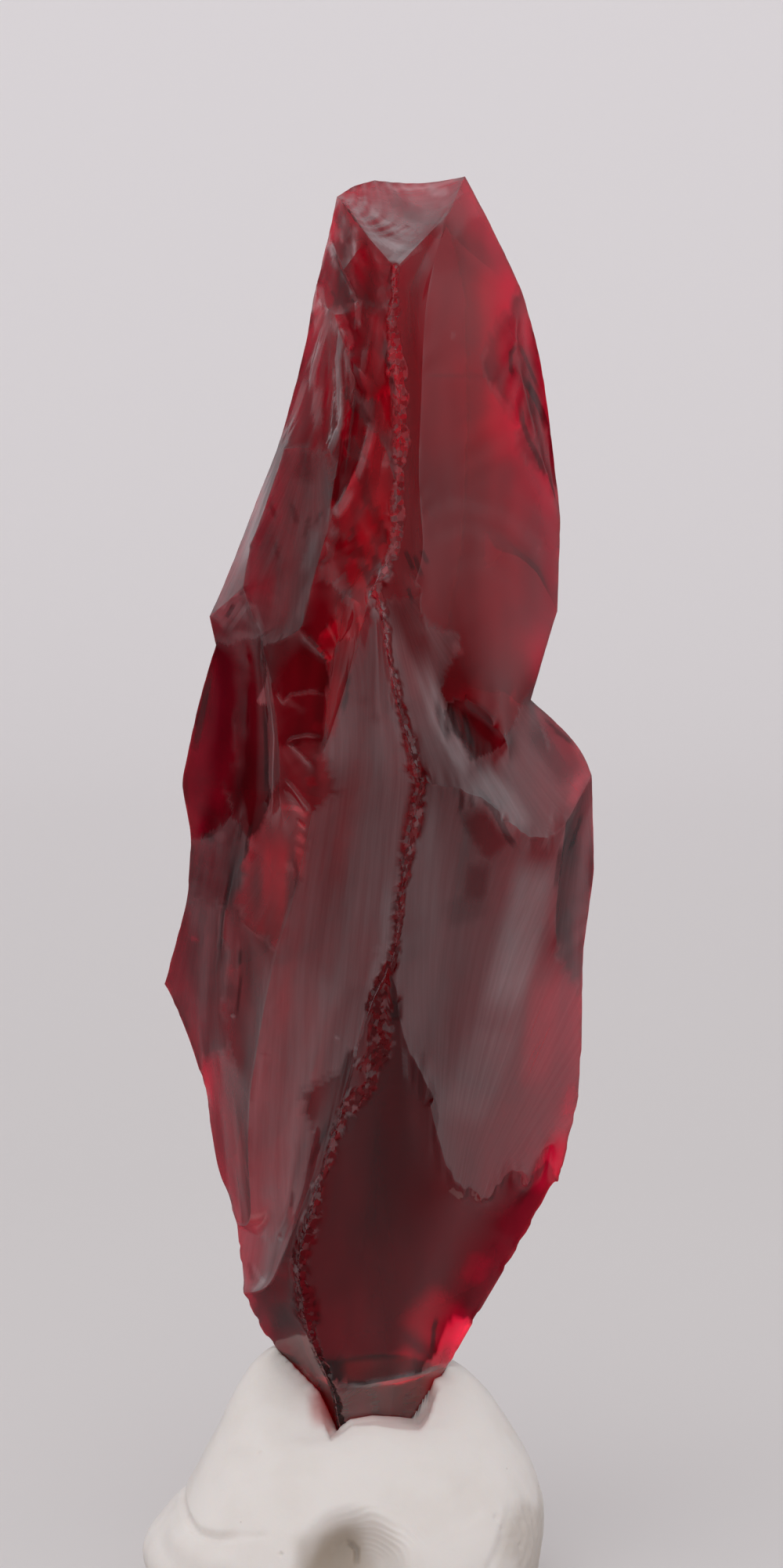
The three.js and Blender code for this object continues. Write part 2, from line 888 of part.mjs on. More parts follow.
// Lofts the rings into one closed lump with a fan over the crown and a flat base.
function makeLump() {
  const rings = Object.values(PUTTY_RINGS).map((ring) => {
    const curve = new THREE.CatmullRomCurve3(ring.map((point) => new THREE.Vector3(...point)), true);
    return curve.getPoints(PUTTY_COLUMNS).slice(0, PUTTY_COLUMNS);
  });
  const columns = rings[0].map((_, column) => {
    const curve = new THREE.CatmullRomCurve3(rings.map((ring) => ring[column]));
    return curve.getPoints(PUTTY_ROWS);
  });

  const points = columns.flat();
  const rowLength = PUTTY_ROWS + 1;
  const crown = points.length;
  points.push(average(columns.map((column) => column[0])));
  const base = points.length;
  points.push(average(columns.map((column) => column[PUTTY_ROWS])));

  const index = [];
  for (let column = 0; column < PUTTY_COLUMNS; column += 1) {
    const here = column * rowLength;
    const next = ((column + 1) % PUTTY_COLUMNS) * rowLength;
    index.push(crown, here, next);
    for (let row = 0; row < PUTTY_ROWS; row += 1) {
      index.push(here + row, here + row + 1, next + row + 1);
      index.push(here + row, next + row + 1, next + row);
    }
    index.push(base, next + PUTTY_ROWS, here + PUTTY_ROWS);
  }
  const geometry = new THREE.BufferGeometry().setFromPoints(points);
  geometry.setIndex(index);
  return geometry;
}

// A copy of a closed geometry, grown outwards by the given distance.
function grow(geometry, distance) {
  const grown = geometry.clone();
  grown.computeVertexNormals();
  const { position, normal } = grown.attributes;
  const point = new THREE.Vector3();
  const outwards = new THREE.Vector3();
  for (let i = 0; i < position.count; i += 1) {
    point.fromBufferAttribute(position, i);
    outwards.fromBufferAttribute(normal, i);
    point.addScaledVector(outwards, distance);
    position.setXYZ(i, point.x, point.y, point.z);
  }
  return grown;
}

// ---------------------------------------------------------------------------
// Solids
// ---------------------------------------------------------------------------

const wasm = await Module();
wasm.setup();

function toSolid(geometry) {
  const bare = geometry.clone();
  bare.deleteAttribute('normal');
  bare.deleteAttribute('uv');
  const merged = mergeVertices(bare);
  return new wasm.Manifold(new wasm.Mesh({
    numProp: 3,
    vertProperties: new Float32Array(merged.attributes.position.array),
    triVerts: new Uint32Array(merged.index.array),
  }));
}

function toBufferGeometry(solid) {
  const { vertProperties, triVerts } = solid.getMesh();
  const geometry = new THREE.BufferGeometry();
  geometry.setAttribute('position', new THREE.BufferAttribute(vertProperties, 3));
  geometry.setIndex(new THREE.BufferAttribute(triVerts, 1));
  return geometry;
}

// The lump, with the socket that the tip of the glass has pressed into it.
function makePutty(shard) {
  const lump = toSolid(makeLump());
  const socket = toSolid(grow(shard, GRIP_GAP));
  return toBufferGeometry(lump.subtract(socket));
}

function makePiece(name, geometry, colour, roughness) {
  geometry.computeVertexNormals();
  const material = new THREE.MeshStandardMaterial({ color: colour, roughness, metalness: 0 });
  const piece = new THREE.Mesh(geometry, material);
  piece.name = name;
  return piece;
}

const shard = makeShard();
const object = new THREE.Group();
object.add(makePiece('crystal', shard, GLASS_COLOUR, 0.05));
object.add(makePiece('putty_stand', makePutty(shard), PUTTY_COLOUR, 0.75));

// The origin goes under the middle of the whole object, on the plane of the putty's base.
const box = new THREE.Box3().setFromObject(object);
const middle = box.getCenter(new THREE.Vector3());
object.position.set(-middle.x, -middle.y, -box.min.z);

export default object;
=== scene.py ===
import heapq
import math
from collections import namedtuple

import bmesh
import bpy
import numpy as np
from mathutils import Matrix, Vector, kdtree, noise
from mathutils.bvhtree import BVHTree


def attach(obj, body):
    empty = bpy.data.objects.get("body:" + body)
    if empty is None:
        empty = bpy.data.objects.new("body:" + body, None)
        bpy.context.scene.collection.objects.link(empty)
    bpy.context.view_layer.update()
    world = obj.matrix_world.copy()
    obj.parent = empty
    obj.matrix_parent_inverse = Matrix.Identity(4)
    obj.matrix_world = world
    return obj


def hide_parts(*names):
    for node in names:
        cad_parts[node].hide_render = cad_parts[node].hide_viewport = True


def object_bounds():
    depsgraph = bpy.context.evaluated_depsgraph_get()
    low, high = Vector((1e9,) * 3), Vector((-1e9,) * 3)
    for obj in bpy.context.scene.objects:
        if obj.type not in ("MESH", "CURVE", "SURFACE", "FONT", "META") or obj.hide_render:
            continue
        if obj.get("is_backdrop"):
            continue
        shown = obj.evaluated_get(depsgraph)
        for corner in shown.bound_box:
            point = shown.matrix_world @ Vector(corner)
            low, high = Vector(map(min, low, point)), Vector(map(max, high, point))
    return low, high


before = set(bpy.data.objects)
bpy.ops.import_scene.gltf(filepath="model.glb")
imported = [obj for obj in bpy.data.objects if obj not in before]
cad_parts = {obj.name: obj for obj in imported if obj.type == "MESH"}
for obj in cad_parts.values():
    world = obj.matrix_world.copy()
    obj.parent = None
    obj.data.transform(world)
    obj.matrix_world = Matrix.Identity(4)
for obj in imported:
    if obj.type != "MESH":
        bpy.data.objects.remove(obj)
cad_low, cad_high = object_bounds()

# The shard. One piece of deep red glass, broken out of a larger lump and struck on all sides. It is a
# single closed skin: the faces of the solid, rounded within each scar and sharp between the scars. It
# isn't fixed: the stand holds its foot. Sizes are in millimetres, and angles in degrees.
MM = 0.001
MERGE_GAP = 0.0005
FLAT_ANGLE = 60
CORNER_ANGLE = 120
ARRIS_ANGLE = 21
BODY_LEVELS = 2


def opened(data):
    """The geometry of a mesh, taken out for work."""
    mesh = bmesh.new()
    mesh.from_mesh(data)
    return mesh


def put_back(mesh, data):
    """Puts worked geometry into a mesh."""
    mesh.to_mesh(data)
    mesh.free()


def new_piece(mesh, name):
    """A piece in the scene, made of worked geometry."""
    data = bpy.data.meshes.new(name)
    put_back(mesh, data)
    piece = bpy.data.objects.new(name, data)
    bpy.context.collection.objects.link(piece)
    return piece


def merged_copy(node):
    """The geometry of a node, with its doubled points merged."""
    mesh = opened(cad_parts[node].data)
    bmesh.ops.remove_doubles(mesh, verts=mesh.verts, dist=MERGE_GAP * MM)
    return mesh


def hardened(piece):
    """Makes a piece with modifiers plain, and gives its mesh."""
    bpy.context.view_layer.update()
    graph = bpy.context.evaluated_depsgraph_get()
    plain = bpy.data.meshes.new_from_object(piece.evaluated_get(graph))
    piece.modifiers.clear()
    piece.data = plain
    return plain


skin = merged_copy("crystal")
bmesh.ops.join_triangles(
    skin,
    faces=skin.faces,
    angle_face_threshold=math.radians(FLAT_ANGLE),
    angle_shape_threshold=math.radians(CORNER_ANGLE),
)
crease = skin.edges.layers.float.new("crease_edge")
for edge in skin.edges:
    if edge.calc_face_angle(0) > math.radians(ARRIS_ANGLE):
        edge[crease] = 1
crystal = new_piece(skin, "crystal_fine")
rounding = crystal.modifiers.new("rounding", "SUBSURF")
rounding.levels = BODY_LEVELS
rounding.render_levels = BODY_LEVELS
data = hardened(crystal)
skin = opened(data)
skin.faces.ensure_lookup_table()

# Its scars. Each flake left a dish that starts at the blow: ripples run round the blow and fine hackle
# lines run away from it. Every scar is found on the skin by points (x, z) on it, and spreads up to its
# arrises. Ripples and hackles are (height, spacing). Satin is the roughness of the break, glow how well
# the red inside shows through it, and haze how much its satin catches the light of the room. The glow is
# painted light and shade: brighter red where light comes through thin glass, darker where it is in shade.
Scar = namedtuple("Scar", "points blow ripples hackles satin glow haze", defaults=(1, 0.3))
FRONT_SCARS = {
    "platform": (
        [(2.2, 88.5), (0, 89.5), (4.5, 89.7)], (-4, 93), (0.045, 0.75), (0.02, 0.9), 0.26, 1.15, 0.45
    ),
    "strip": (
        [(2.75, 82.5), (2.5, 77.5), (2.5, 72.5), (2.6, 68.8), (3.7, 86.9)], (2, 96), (0, 2), (0.003, 0.8),
        0.2, 1.4, 0.4
    ),
    "broadFace": (
        [(6, 84), (5, 76), (8, 70), (9, 64), (5, 66), (7, 59)], (6, 58), (0.012, 2.6), (0.003, 2), 0.2, 1.3,
        0.1
    ),
    "edgeChip": ([(10.9, 77.8)], (13, 76), (0.01, 1.2), (0.008, 0.8), 0.12, 0.65, 0),
    "redChip": ([(6.8, 56.3)], (5, 59), (0, 1), (0.004, 0.8), 0.08, 0.6, 0),
    "shelf": ([(3, 60), (5, 55), (8, 53.5), (12, 53)], (0, 66), (0.006, 2), (0.008, 1), 0.22, 1, 0.5),
    "greatScoop": (
        [(4, 47), (5, 40), (9, 38), (11, 44), (9, 31), (12.3, 34), (11.3, 30.5)], (3.5, 22), (0.006, 3.2),
        (0.004, 1.1), 0.24, 0.7, 0.42
    ),
    "rightChip": ([(13.5, 50), (13.2, 45)], (14, 54), (0.008, 1.5), (0.018, 0.9), 0.22, 0.3, 0.45),
    "lowerFace": (
        [(2, 36), (1, 33.5), (0.3, 31.5), (0, 28), (2, 21), (7, 23), (10, 25.5), (1, 16)], (14, 34),
        (0.006, 3.4), (0.002, 2), 0.14, 0.42, 0.08
    ),
    "hem": ([(0, 12.2), (2.5, 12.8)], (-3, 13), (0.004, 1.4), (0.004, 1), 0.2, 2.6, 0.6),
    "bevel": ([(-1.6, 87.6)], (-1, 91), (0.008, 1.2), (0.006, 0.8), 0.16, 0.95, 0),
    "pit": ([(0.6, 84.5)], (1, 87), (0.02, 1), (0.012, 0.8), 0.12, 0.9, 0),
    "bevelLow": ([(-2.3, 84)], (-2, 87), (0.01, 1.2), (0.01, 0.8), 0.16, 0.9, 0),
    "scar": ([(-2.5, 80), (-3.5, 76)], (-1.5, 84), (0.006, 1.4), (0.03, 0.8), 0.2, 1, 0),
    "long1": ([(0.3, 80.5), (-0.6, 78)], (0.8, 84), (0.006, 1.2), (0.02, 0.7), 0.14, 1.1, 0.05),
    "long2": ([(-0.6, 75)], (0, 80), (0.006, 1.2), (0.02, 0.7), 0.1, 0.85, 0),
    "long3": ([(0.6, 75), (0.4, 72), (-1.3, 70)], (1.5, 82), (0.006, 1.4), (0.02, 0.8), 0.12, 1.65, 0.4),
    "glint": ([(-6.3, 71), (-8, 67)], (-5, 75), (0, 1.2), (0.006, 1), 0.2, 1, 1.5),
    "heel": ([(-4, 71), (-5, 67), (-6, 64)], (-3.5, 76), (0.005, 1.6), (0.028, 0.8), 0.18, 0.75, 0.5),
    "heelWedge": ([(-1.7, 71.5)], (-1, 74), (0, 1), (0.01, 0.8), 0.14, 0.8, 0),
    "wedge2": ([(-2.5, 67.3)], (-2, 70), (0, 1), (0.01, 0.8), 0.14, 1.2, 0.3),
    "hollow": ([(-3, 64)], (-2, 68), (0.004, 1.4), (0.003, 1), 0.06, 0.9, 0),
    "cheek": ([(0.4, 68), (-0.6, 65.5)], (1.5, 73), (0.006, 1.2), (0.015, 0.8), 0.14, 1.8, 0.25),
    "cheekLow": ([(-1.3, 63)], (0, 66), (0.005, 0.9), (0.015, 0.8), 0.14, 2, 0),
    "nub": ([(-8.6, 63)], (-7, 65), (0.006, 1), (0.01, 0.8), 0.16, 0.5, 0.4),
    "ruby": ([(-9, 60), (-10, 55), (-10.5, 51)], (-8, 64), (0.004, 1.8), (0.003, 1.2), 0.07, 0.45, 0),
    "rubyStrip": ([(-7, 60), (-7.1, 56), (-7.2, 52)], (-7, 63), (0.002, 1.8), (0.004, 0.8), 0.08, 0.4, 0),
    "rib": ([(-6.1, 58.5), (-6, 55)], (-6, 63), (0, 1), (0.006, 0.8), 0.2, 1, 1),
    "step1": ([(-4.5, 60)], (-1, 63), (0.003, 1), (0.004, 0.8), 0.07, 0.6, 0),
    "step2": ([(-4.2, 57)], (-1, 59), (0.003, 1), (0.004, 0.8), 0.07, 0.7, 0.05),
    "step3": ([(-4.3, 53.7)], (-1, 56), (0.004, 0.8), (0.006, 0.8), 0.09, 1, 0.25),
    "ember": ([(-5.5, 50), (-6, 46)], (0, 56), (0.008, 1), (0.008, 0.9), 0.16, 1.25, 0.35),
    "lowStrip": ([(-9.5, 48.3)], (-8, 58), (0.003, 1.6), (0.012, 0.9), 0.2, 0.35, 0.35),
    "lowLeft1": ([(-10.5, 42), (-11, 37.5)], (-9, 52), (0.004, 1.6), (0.014, 0.9), 0.2, 0.4, 0.35),
    "lowLeft2": ([(-7.8, 42), (-7.6, 37)], (-7, 52), (0.003, 1.6), (0.014, 0.9), 0.2, 0.7, 0.25),
    "lowLeft3": ([(-9.3, 32.5), (-8.6, 28)], (-9, 44), (0.004, 1.4), (0.02, 0.8), 0.18, 0.9, 0.35),
    "flute": (
        [(-1, 56), (-2, 49), (-2, 41), (-5, 37), (-5, 30), (-6.3, 24)], (3.5, 96), (0.002, 4), (0.012, 1),
        0.24, 0.98, 0.95
    ),
    "fluteBevel": ([(-1.4, 60)], (0, 66), (0, 1), (0.01, 0.8), 0.18, 1.4, 0.1),
    "band": ([(-0.6, 35.5), (-2.4, 31), (-4, 26.5)], (2, 44), (0, 1), (0.024, 0.8), 0.2, 0.6, 0.15),
    "toe": ([(-4.6, 17.2)], (-7, 23), (0.004, 1.1), (0.008, 0.8), 0.2, 0.4, 0.2),
    "toeLow": ([(-2.3, 11.8)], (-4, 14), (0.004, 1), (0.006, 0.8), 0.16, 1.5, 0),
}
BACK_SCARS = {
    "backTop": ([(5, 87)], (8, 92), (0.01, 1.4), (0.015, 1), 0.2),
    "backTopLeft": ([(0, 87)], (-2, 92), (0.01, 1.2), (0.015, 1), 0.18),
    "backUpper": ([(6.5, 80), (8, 71)], (13, 80), (0.012, 2.2), (0.012, 1.2), 0.2),
    "backUpperLeft": ([(0, 80), (-1, 74)], (-4, 84), (0.01, 1.8), (0.018, 1), 0.22),
    "backNotch": ([(6, 61)], (13, 62), (0.012, 1.8), (0.01, 1.2), 0.16),
    "backMidRight": ([(6, 51), (11, 51)], (15, 54), (0.012, 2.2), (0.016, 1.2), 0.22),
    "backWaist": ([(-1.5, 66), (-6, 65)], (-9, 72), (0.01, 2), (0.016, 1.1), 0.2),
    "backHip": ([(-2, 57), (-8, 56)], (-12, 62), (0.012, 2), (0.012, 1.2), 0.22),
    "backLowerRight": ([(5, 39), (11, 39)], (15, 42), (0.01, 2.4), (0.012, 1.2), 0.18),
    "backLowerLeft": ([(-2, 47), (-8, 46)], (-13, 50), (0.012, 2.2), (0.018, 1.1), 0.22),
    "backShin": ([(4, 27), (9, 27)], (14, 32), (0.01, 2.4), (0.01, 1.2), 0.2),
    "backCalf": ([(-3, 36), (-9, 36)], (-13, 38), (0.012, 2.2), (0.016, 1.1), 0.2),
    "backHeelRight": ([(3.5, 16)], (8, 20), (0.01, 1.6), (0.01, 1), 0.2),
    "backHeelLeft": ([(-3, 26), (-6, 23)], (-10, 30), (0.01, 1.8), (0.014, 1), 0.2),
    "backToe": ([(-2, 14.5)], (-6, 18), (0.01, 1.4), (0.008, 1), 0.2),
}
SCARS = {name: Scar(*values) for name, values in (FRONT_SCARS | BACK_SCARS).items()}
FAR_AWAY = 50
FOLD_START = 9
FOLD_COST = 300
scar_names = list(SCARS)


def find_scars(mesh):
    """Gives every face the scar that reaches it first, where crossing a fold costs extra distance."""
    tree = BVHTree.FromBMesh(mesh)
    centres = [face.calc_center_median() / MM for face in mesh.faces]
    owner = np.full(len(centres), -1)
    front = []
    for number, name in enumerate(scar_names):
        side = -1 if name in FRONT_SCARS else 1
        for x, z in SCARS[name].points:
            start = Vector((x, side * FAR_AWAY, z)) * MM
            index = tree.ray_cast(start, Vector((0, -side, 0)))[2]
            heapq.heappush(front, (0.0, index, number))
    while front:
        reached, index, number = heapq.heappop(front)
        if owner[index] >= 0:
            continue
        owner[index] = number
        for edge in mesh.faces[index].edges:
            fold = max(0.0, edge.calc_face_angle(0) - math.radians(FOLD_START)) * FOLD_COST
            for face in edge.link_faces:
                if owner[face.index] < 0:
                    step = (centres[face.index] - centres[index]).length
                    heapq.heappush(front, (reached + step + fold, face.index, number))
    return owner


owner = find_scars(skin)
scar_layer = skin.faces.layers.int.new("scar")
for face in skin.faces:
    face[scar_layer] = int(owner[face.index])

# Its small marks on the front, place by place: chips, steps, hackle spikes, polished and satin patches,
# and streaks of brighter red that are painted light. A mark has a half width and a soft border (0 to 1).
# It changes the glow by a factor, above 1 painted light and below 1 painted shade in the red, adds to the
# haze, and stands proud by its height. Then come its strokes, each through points (x, z). At the powder
# marks the glass is also crushed to powder.
Mark = namedtuple("Mark", "width soft glow haze height", defaults=(0, 0))
MARKS = [
    # platform
    ((0.22, 0.8, 1, 0.7), [(-1.1, 89.3), (-0.6, 88.2), (0.4, 87), (1.7, 86.4), (2.9, 86.3)]),
    ((0.16, 0.8, 1, 0.4), [(-0.4, 89.8), (0.5, 88.5), (1.7, 87.6), (3, 87.3)]),
    ((0.2, 0.8, 1, 0.5), [(1.6, 85), (2.5, 85.9), (3.5, 86.5)]),
    ((0.28, 0.8, 1, 0.8), [(3.7, 90.2), (4.5, 90), (5.2, 90.1)]),
    ((0.2, 0.8, 1, 0.4), [(4.5, 89), (5.2, 89.4), (6, 90.1)]),
    ((0.5, 0.9, 0.85, -0.3), [(1.5, 89.8), (2.5, 88.8), (3.7, 88.3)]),
    ((0.14, 0.7, 0.9, -0.3), [(0, 88.6), (1, 87.4), (2.2, 86.9)]),
    ((0.14, 0.6, 1.2, 0.7), [(0.6, 90.5), (2, 90.3), (3.5, 90.3), (5, 90.7), (6.1, 90.9)]),
    # broad face
    ((2.4, 1, 1.45, -0.1), [(8.4, 85.8), (9.2, 82.3), (9.8, 78.9)]),
    ((1.9, 1, 1.3, -0.05), [(7.1, 80.8), (7.9, 77.4), (8.4, 74)]),
    ((2.2, 1, 1.2, -0.05), [(7.6, 76.4), (8.9, 73)]),
    ((0.25, 0.6, 1.8), [(9.2, 58.1)]),
    ((1.2, 1, 1.4, -0.05), [(8.4, 78.9), (8.9, 75.4), (9.6, 72.5)]),
    ((0.4, 1, 1, 0.14, 0.02), [(3, 69.9), (5.4, 70.5), (8.4, 69.8), (10.4, 68), (11.7, 66)]),
    ((0.35, 1, 1, 0.1, 0.015), [(3.7, 68.1), (6, 68.9), (8.4, 68.1), (9.9, 66.3)]),
    ((0.3, 1, 1, 0.07, 0.01), [(4.4, 66), (6.4, 66.8), (8.4, 65.9), (9.2, 64.6)]),
    ((0.12, 1, 0.85, 0.03), [(3, 78.4), (6.4, 78.4), (8.9, 78.1)]),
    ((2.2, 1, 0.6, 0.05), [(11.7, 72.4), (12.1, 68), (11.5, 64), (10.5, 61.1)]),
    ((1.5, 1, 0.8, 0.03), [(8.9, 77.4), (9.8, 74.4), (10, 70.5)]),
    ((0.9, 0.9, 1.02, -0.3), [(4.3, 88.4), (4.5, 86.6), (5, 84.7)]),
    ((1.4, 1, 0.9, 0.03), [(3.7, 74.5), (4.4, 70.6), (5.4, 67.7)]),
    # edge chip
    ((0.14, 0.4, 0.45, -0.1), [(9.5, 80.5), (9, 79.8), (9, 78.9), (9.2, 78.3)]),
    ((0.12, 0.4, 0.5, -0.1), [(9.5, 80.5), (9.8, 79.9), (10.4, 78.5), (10.9, 77.4)]),
    ((0.16, 0.4, 0.45, -0.1), [(9.4, 77.4), (9.8, 75.4), (10.2, 74.3), (10.9, 73), (11.4, 71.7)]),
    ((0.2, 0.5, 0.35, -0.2), [(9.7, 78.5), (10.4, 77.4), (11, 76.2), (11.4, 74.9)]),
    ((0.45, 0.6, 1.2, 0.1), [(10.2, 75.9), (10.9, 74.4)]),
    ((0.15, 0.6, 1, 0.25), [(5.4, 81.2), (5.3, 80.6)]),
    # shelf
    (
        (0.14, 0.4, 0.5, -0.1), [(2.3, 67.7), (2.9, 66.3)], [(2.9, 67.4), (3.4, 65.9)],
        [(3.3, 67.7), (3.8, 66.7)]
    ),
    ((0.12, 0.4, 0.5, -0.1), [(2.5, 65.4), (2.8, 64.4)]),
    ((0.12, 0.5, 1, 0.15), [(2.6, 66.3), (3.2, 65.3)]),
    ((0.55, 0.8, 1.25, 0.75), [(2.9, 61.8), (3.7, 59.4), (4.5, 57.3), (5.7, 55), (6.6, 53.8)]),
    ((1, 0.8, 1.3, 0.8), [(6.4, 53.8), (8.4, 51.6), (9.6, 49.6)]),
    ((0.5, 0.5, 0.8, -0.2), [(6.4, 57.6), (8.4, 56.4)]),
    ((1, 0.7, 0.6, -0.35), [(10.5, 56.8), (12.1, 54.5), (13.4, 52.5)]),
    ((0.35, 0.8, 1.3, 0.1), [(1.5, 62.9), (2.5, 60.5), (3.2, 58)]),
    ((0.2, 0.3, 0.5, -0.4), [(4.2, 58.7), (4.7, 56.8), (5.2, 55.8)]),
    ((0.18, 0.3, 0.5, -0.4), [(5, 58.2), (5.5, 56.5), (5.9, 55.7)]),
    ((0.16, 0.3, 0.5, -0.4), [(5.9, 57.9), (6.3, 56.2), (6.6, 55.2)]),
    ((0.3, 0.6, 1.5, 0.1), [(13.6, 53), (13.2, 51.9), (12.9, 51.1)]),
    # great scoop
    ((0.12, 0.4, 0.4, -0.2), [(11, 56.9), (12.1, 55.8), (13.4, 54.7)]),
    ((0.12, 0.5, 1, 0.25), [(11, 56.3), (11.4, 55.3), (11.6, 54.5)]),
    # painted shade in the hollow under the shelf: darker red with less haze
    ((0.9, 0.6, 0.9, -0.5), [(6.4, 51.7), (7.6, 49.6), (8.4, 48.5)]),
    ((0.7, 0.8, 0.8, -0.35), [(7, 48.1), (6.7, 45.5)]),
    ((1.3, 1, 0.8, -0.15), [(5.9, 46.1), (6.4, 44)]),
    ((0.6, 0.9, 1, 0.15), [(4, 52.3), (3.8, 48.3), (3.7, 43.3)]),
    ((0.14, 0.4, 0.6, -0.3), [(5.8, 53.1), (5.9, 52.2), (5.7, 51.2)], [(6.4, 52.9), (6.6, 51.6)]),
    ((0.12, 0.5, 1, 0.2), [(6.1, 52.7), (6.2, 51.4)]),
    ((0.2, 0.3, 0.45, -0.4), [(6.6, 53), (7.9, 51.4), (8.8, 49.5), (9.4, 48.7)]),
    ((1.25, 1, 1, 0.95), [(10.8, 48.4), (10.2, 45.3), (9.2, 41.3), (8.1, 37.3)]),
    ((1.5, 1, 1, 0.35), [(8.5, 38.3), (7, 33.9), (5.7, 31.1)]),
    ((0.9, 1, 1.5), [(11.5, 40.5), (11, 36.5), (10.5, 32.5)]),
    ((0.13, 0.5, 1, 0.3), [(11.7, 51.2), (11.4, 49.8), (11, 48.6)]),
    ((0.14, 0.5, 1.1, 0.25), [(13.5, 51.5), (12.7, 49.9), (12, 48.2)]),
    ((0.16, 0.4, 0.45, -0.2), [(13.8, 50.7), (13.3, 49.4), (12.8, 48)]),
    ((0.18, 0.4, 0.45, -0.3), [(12.3, 49), (12.1, 47.2), (11.9, 45.7)]),
    ((0.16, 0.5, 1, 0.35), [(2.3, 36.9), (2.4, 34.4)]),
    ((0.16, 0.5, 0.8, -0.3), [(3.5, 36.8), (3.3, 34.6), (3.4, 33.3)]),
    ((0.14, 0.5, 0.8, -0.2), [(3, 36.1), (2.9, 34.4)]),
    ((0.18, 0.5, 0.8, -0.3), [(3.9, 34.8), (4.3, 31.8), (4.1, 30.3)]),
    ((0.2, 0.6, 1, 0.3), [(7.9, 26.7), (7.4, 25.9)]),
    # scar
    (
        (0.21, 0.4, 1.1, 1.2, 0.1), [(-2.1, 81.7), (-1.6, 80.9), (-1.8, 79.3), (-1.7, 77.4), (-1.6, 75.4),
        (-2, 74.4), (-2.4, 73.5)]
    ),
    ((0.21, 0.4, 1.2, -0.5, -0.08), [(-2.4, 79.6), (-2.4, 77.4), (-2.6, 75.2), (-2.5, 74.2)]),
    ((0.21, 0.4, 1.1, 0.9, 0.08), [(-2.8, 80.8), (-3.3, 78.9), (-3.5, 77.4)]),
    ((0.3, 0.5, 1.1, 0.8, 0.05), [(-3, 77.9), (-3.2, 76.4), (-3, 75)]),
    ((0.21, 0.5, 1.1, 0.6, 0.05), [(-1.3, 80.3), (-1.1, 78.4)]),
    ((0.21, 0.4, 1.1, 0.8), [(-3.8, 78.5), (-4.4, 76.7), (-4.9, 75.2)]),
    ((0.21, 0.4, 1.2, -0.6, -0.08), [(-1, 79.3), (-1.1, 76.4), (-1.4, 74), (-1.6, 72.3)]),
    ((0.2, 0.6, 0.7, -0.4), [(-0.8, 76.4), (-1.1, 74.5)]),
    ((0.21, 0.4, 1.1, 1.1, 0.1), [(0.3, 75.6), (0.1, 74.5), (-0.3, 73.1), (-0.7, 72)]),
    ((0.3, 0.6, 1.1, 1.2, 0.1), [(-1, 71.5), (-1.5, 70.5), (-2.1, 69.7)]),
    ((0.21, 0.4, 1.1, 0.7), [(1.4, 73.8), (1, 72.6)]),
    ((0.5, 0.7, 1.5, -0.4), [(0.9, 77.9), (0.9, 74.5)]),
    ((0.7, 0.8, 1.4, 0.05), [(0.8, 71.6), (0, 69.4), (0.5, 68.2)]),
    ((0.5, 0.7, 1.1, -0.5), [(-1.2, 68.2), (-1.7, 67.4)]),
    ((0.5, 0.7, 0.7, -0.3), [(0.8, 84.9), (0.5, 84.2)]),
    ((0.18, 0.6, 1, 1.1), [(-2.4, 86.9), (-2.1, 85.8)]),
    ((0.18, 0.6, 1, 0.9), [(-3, 84.2), (-2.8, 82.6)]),
    ((0.3, 0.7, 1.1, 0.8), [(-2.4, 81.4), (-1.8, 81.9)]),
    ((0.21, 0.4, 1.1, 0.7, 0.04), [(-0.5, 83.2), (-0.6, 81.3)]),
    ((0.21, 0.4, 1.1, 0.6, 0.04), [(-0.1, 80.3), (-0.3, 78.4)]),
    # heel
    ((0.9, 0.7, 0.9, -0.3), [(-4.7, 73), (-2.9, 72.5)]),
    (
        (0.14, 0.4, 0.7, -0.2), [(-6.2, 70.5), (-5.8, 69.4)], [(-3.6, 69.8), (-4, 68.1)],
        [(-2.8, 70.1), (-3.3, 69.1)]
    ),
    ((0.16, 0.4, 0.7, -0.2), [(-4.8, 70.5), (-4.4, 69)]),
    ((0.14, 0.4, 0.8, -0.15), [(-5.9, 68.1), (-5.6, 66.8)]),
    ((0.28, 0.8, 1, 0.5), [(-3, 69.2), (-3.5, 67.6), (-4.1, 65.9)]),
    ((0.3, 0.7, 1.2, 0.3), [(-3.5, 65.7), (-4, 64.2), (-4.4, 63)]),
    ((0.25, 0.7, 1, 0.6), [(-1.9, 69), (-2.4, 68.2)]),
    # cheek
    ((0.6, 0.7, 1.4, 0.05), [(-1.2, 66), (-0.3, 65), (-0.8, 64.1)]),
    ((0.3, 0.7, 1.4, 0.25), [(-0.7, 67.1), (-0.1, 66.6)]),
    # junction
    ((0.35, 0.5, 1, 0.9, 0.05), [(0.8, 66.5), (1.1, 66.2), (1.5, 65.9)]),
    ((0.28, 0.6, 1.2, 0.6, 0.05), [(0.2, 65.5), (0.4, 64.6), (0.6, 63.6)]),
    ((0.14, 0.5, 0.7, -0.3), [(0.6, 65.7), (1.3, 65.4)]),
    # nub
    ((0.3, 0.5, 0.7, -0.4), [(-8.1, 65), (-7.8, 64.8)]),
    ((0.15, 0.5, 1, 0.45), [(-7.5, 64.2), (-8.1, 63.3), (-8.9, 62.2)]),
    ((0.15, 0.6, 1, 0.5), [(-8.3, 65.8), (-8.9, 64.3), (-9.3, 63.6)]),
    ((0.14, 0.5, 0.5, -0.4), [(-8.4, 64.1), (-9, 63.1)]),
    ((0.14, 0.5, 1, 0.4), [(-7.6, 64.1), (-7.1, 63.9), (-6.7, 62.6), (-6.5, 61.4)]),
    # hollow
    ((0.16, 0.5, 1.3, 0.45, 0.05), [(-4.2, 62.6), (-3.8, 62), (-3.1, 61.4), (-2.4, 60.7)]),
    ((0.7, 0.8, 0.62, 0.08), [(-2.8, 62.2), (-2.3, 60.9)]),
    # steps
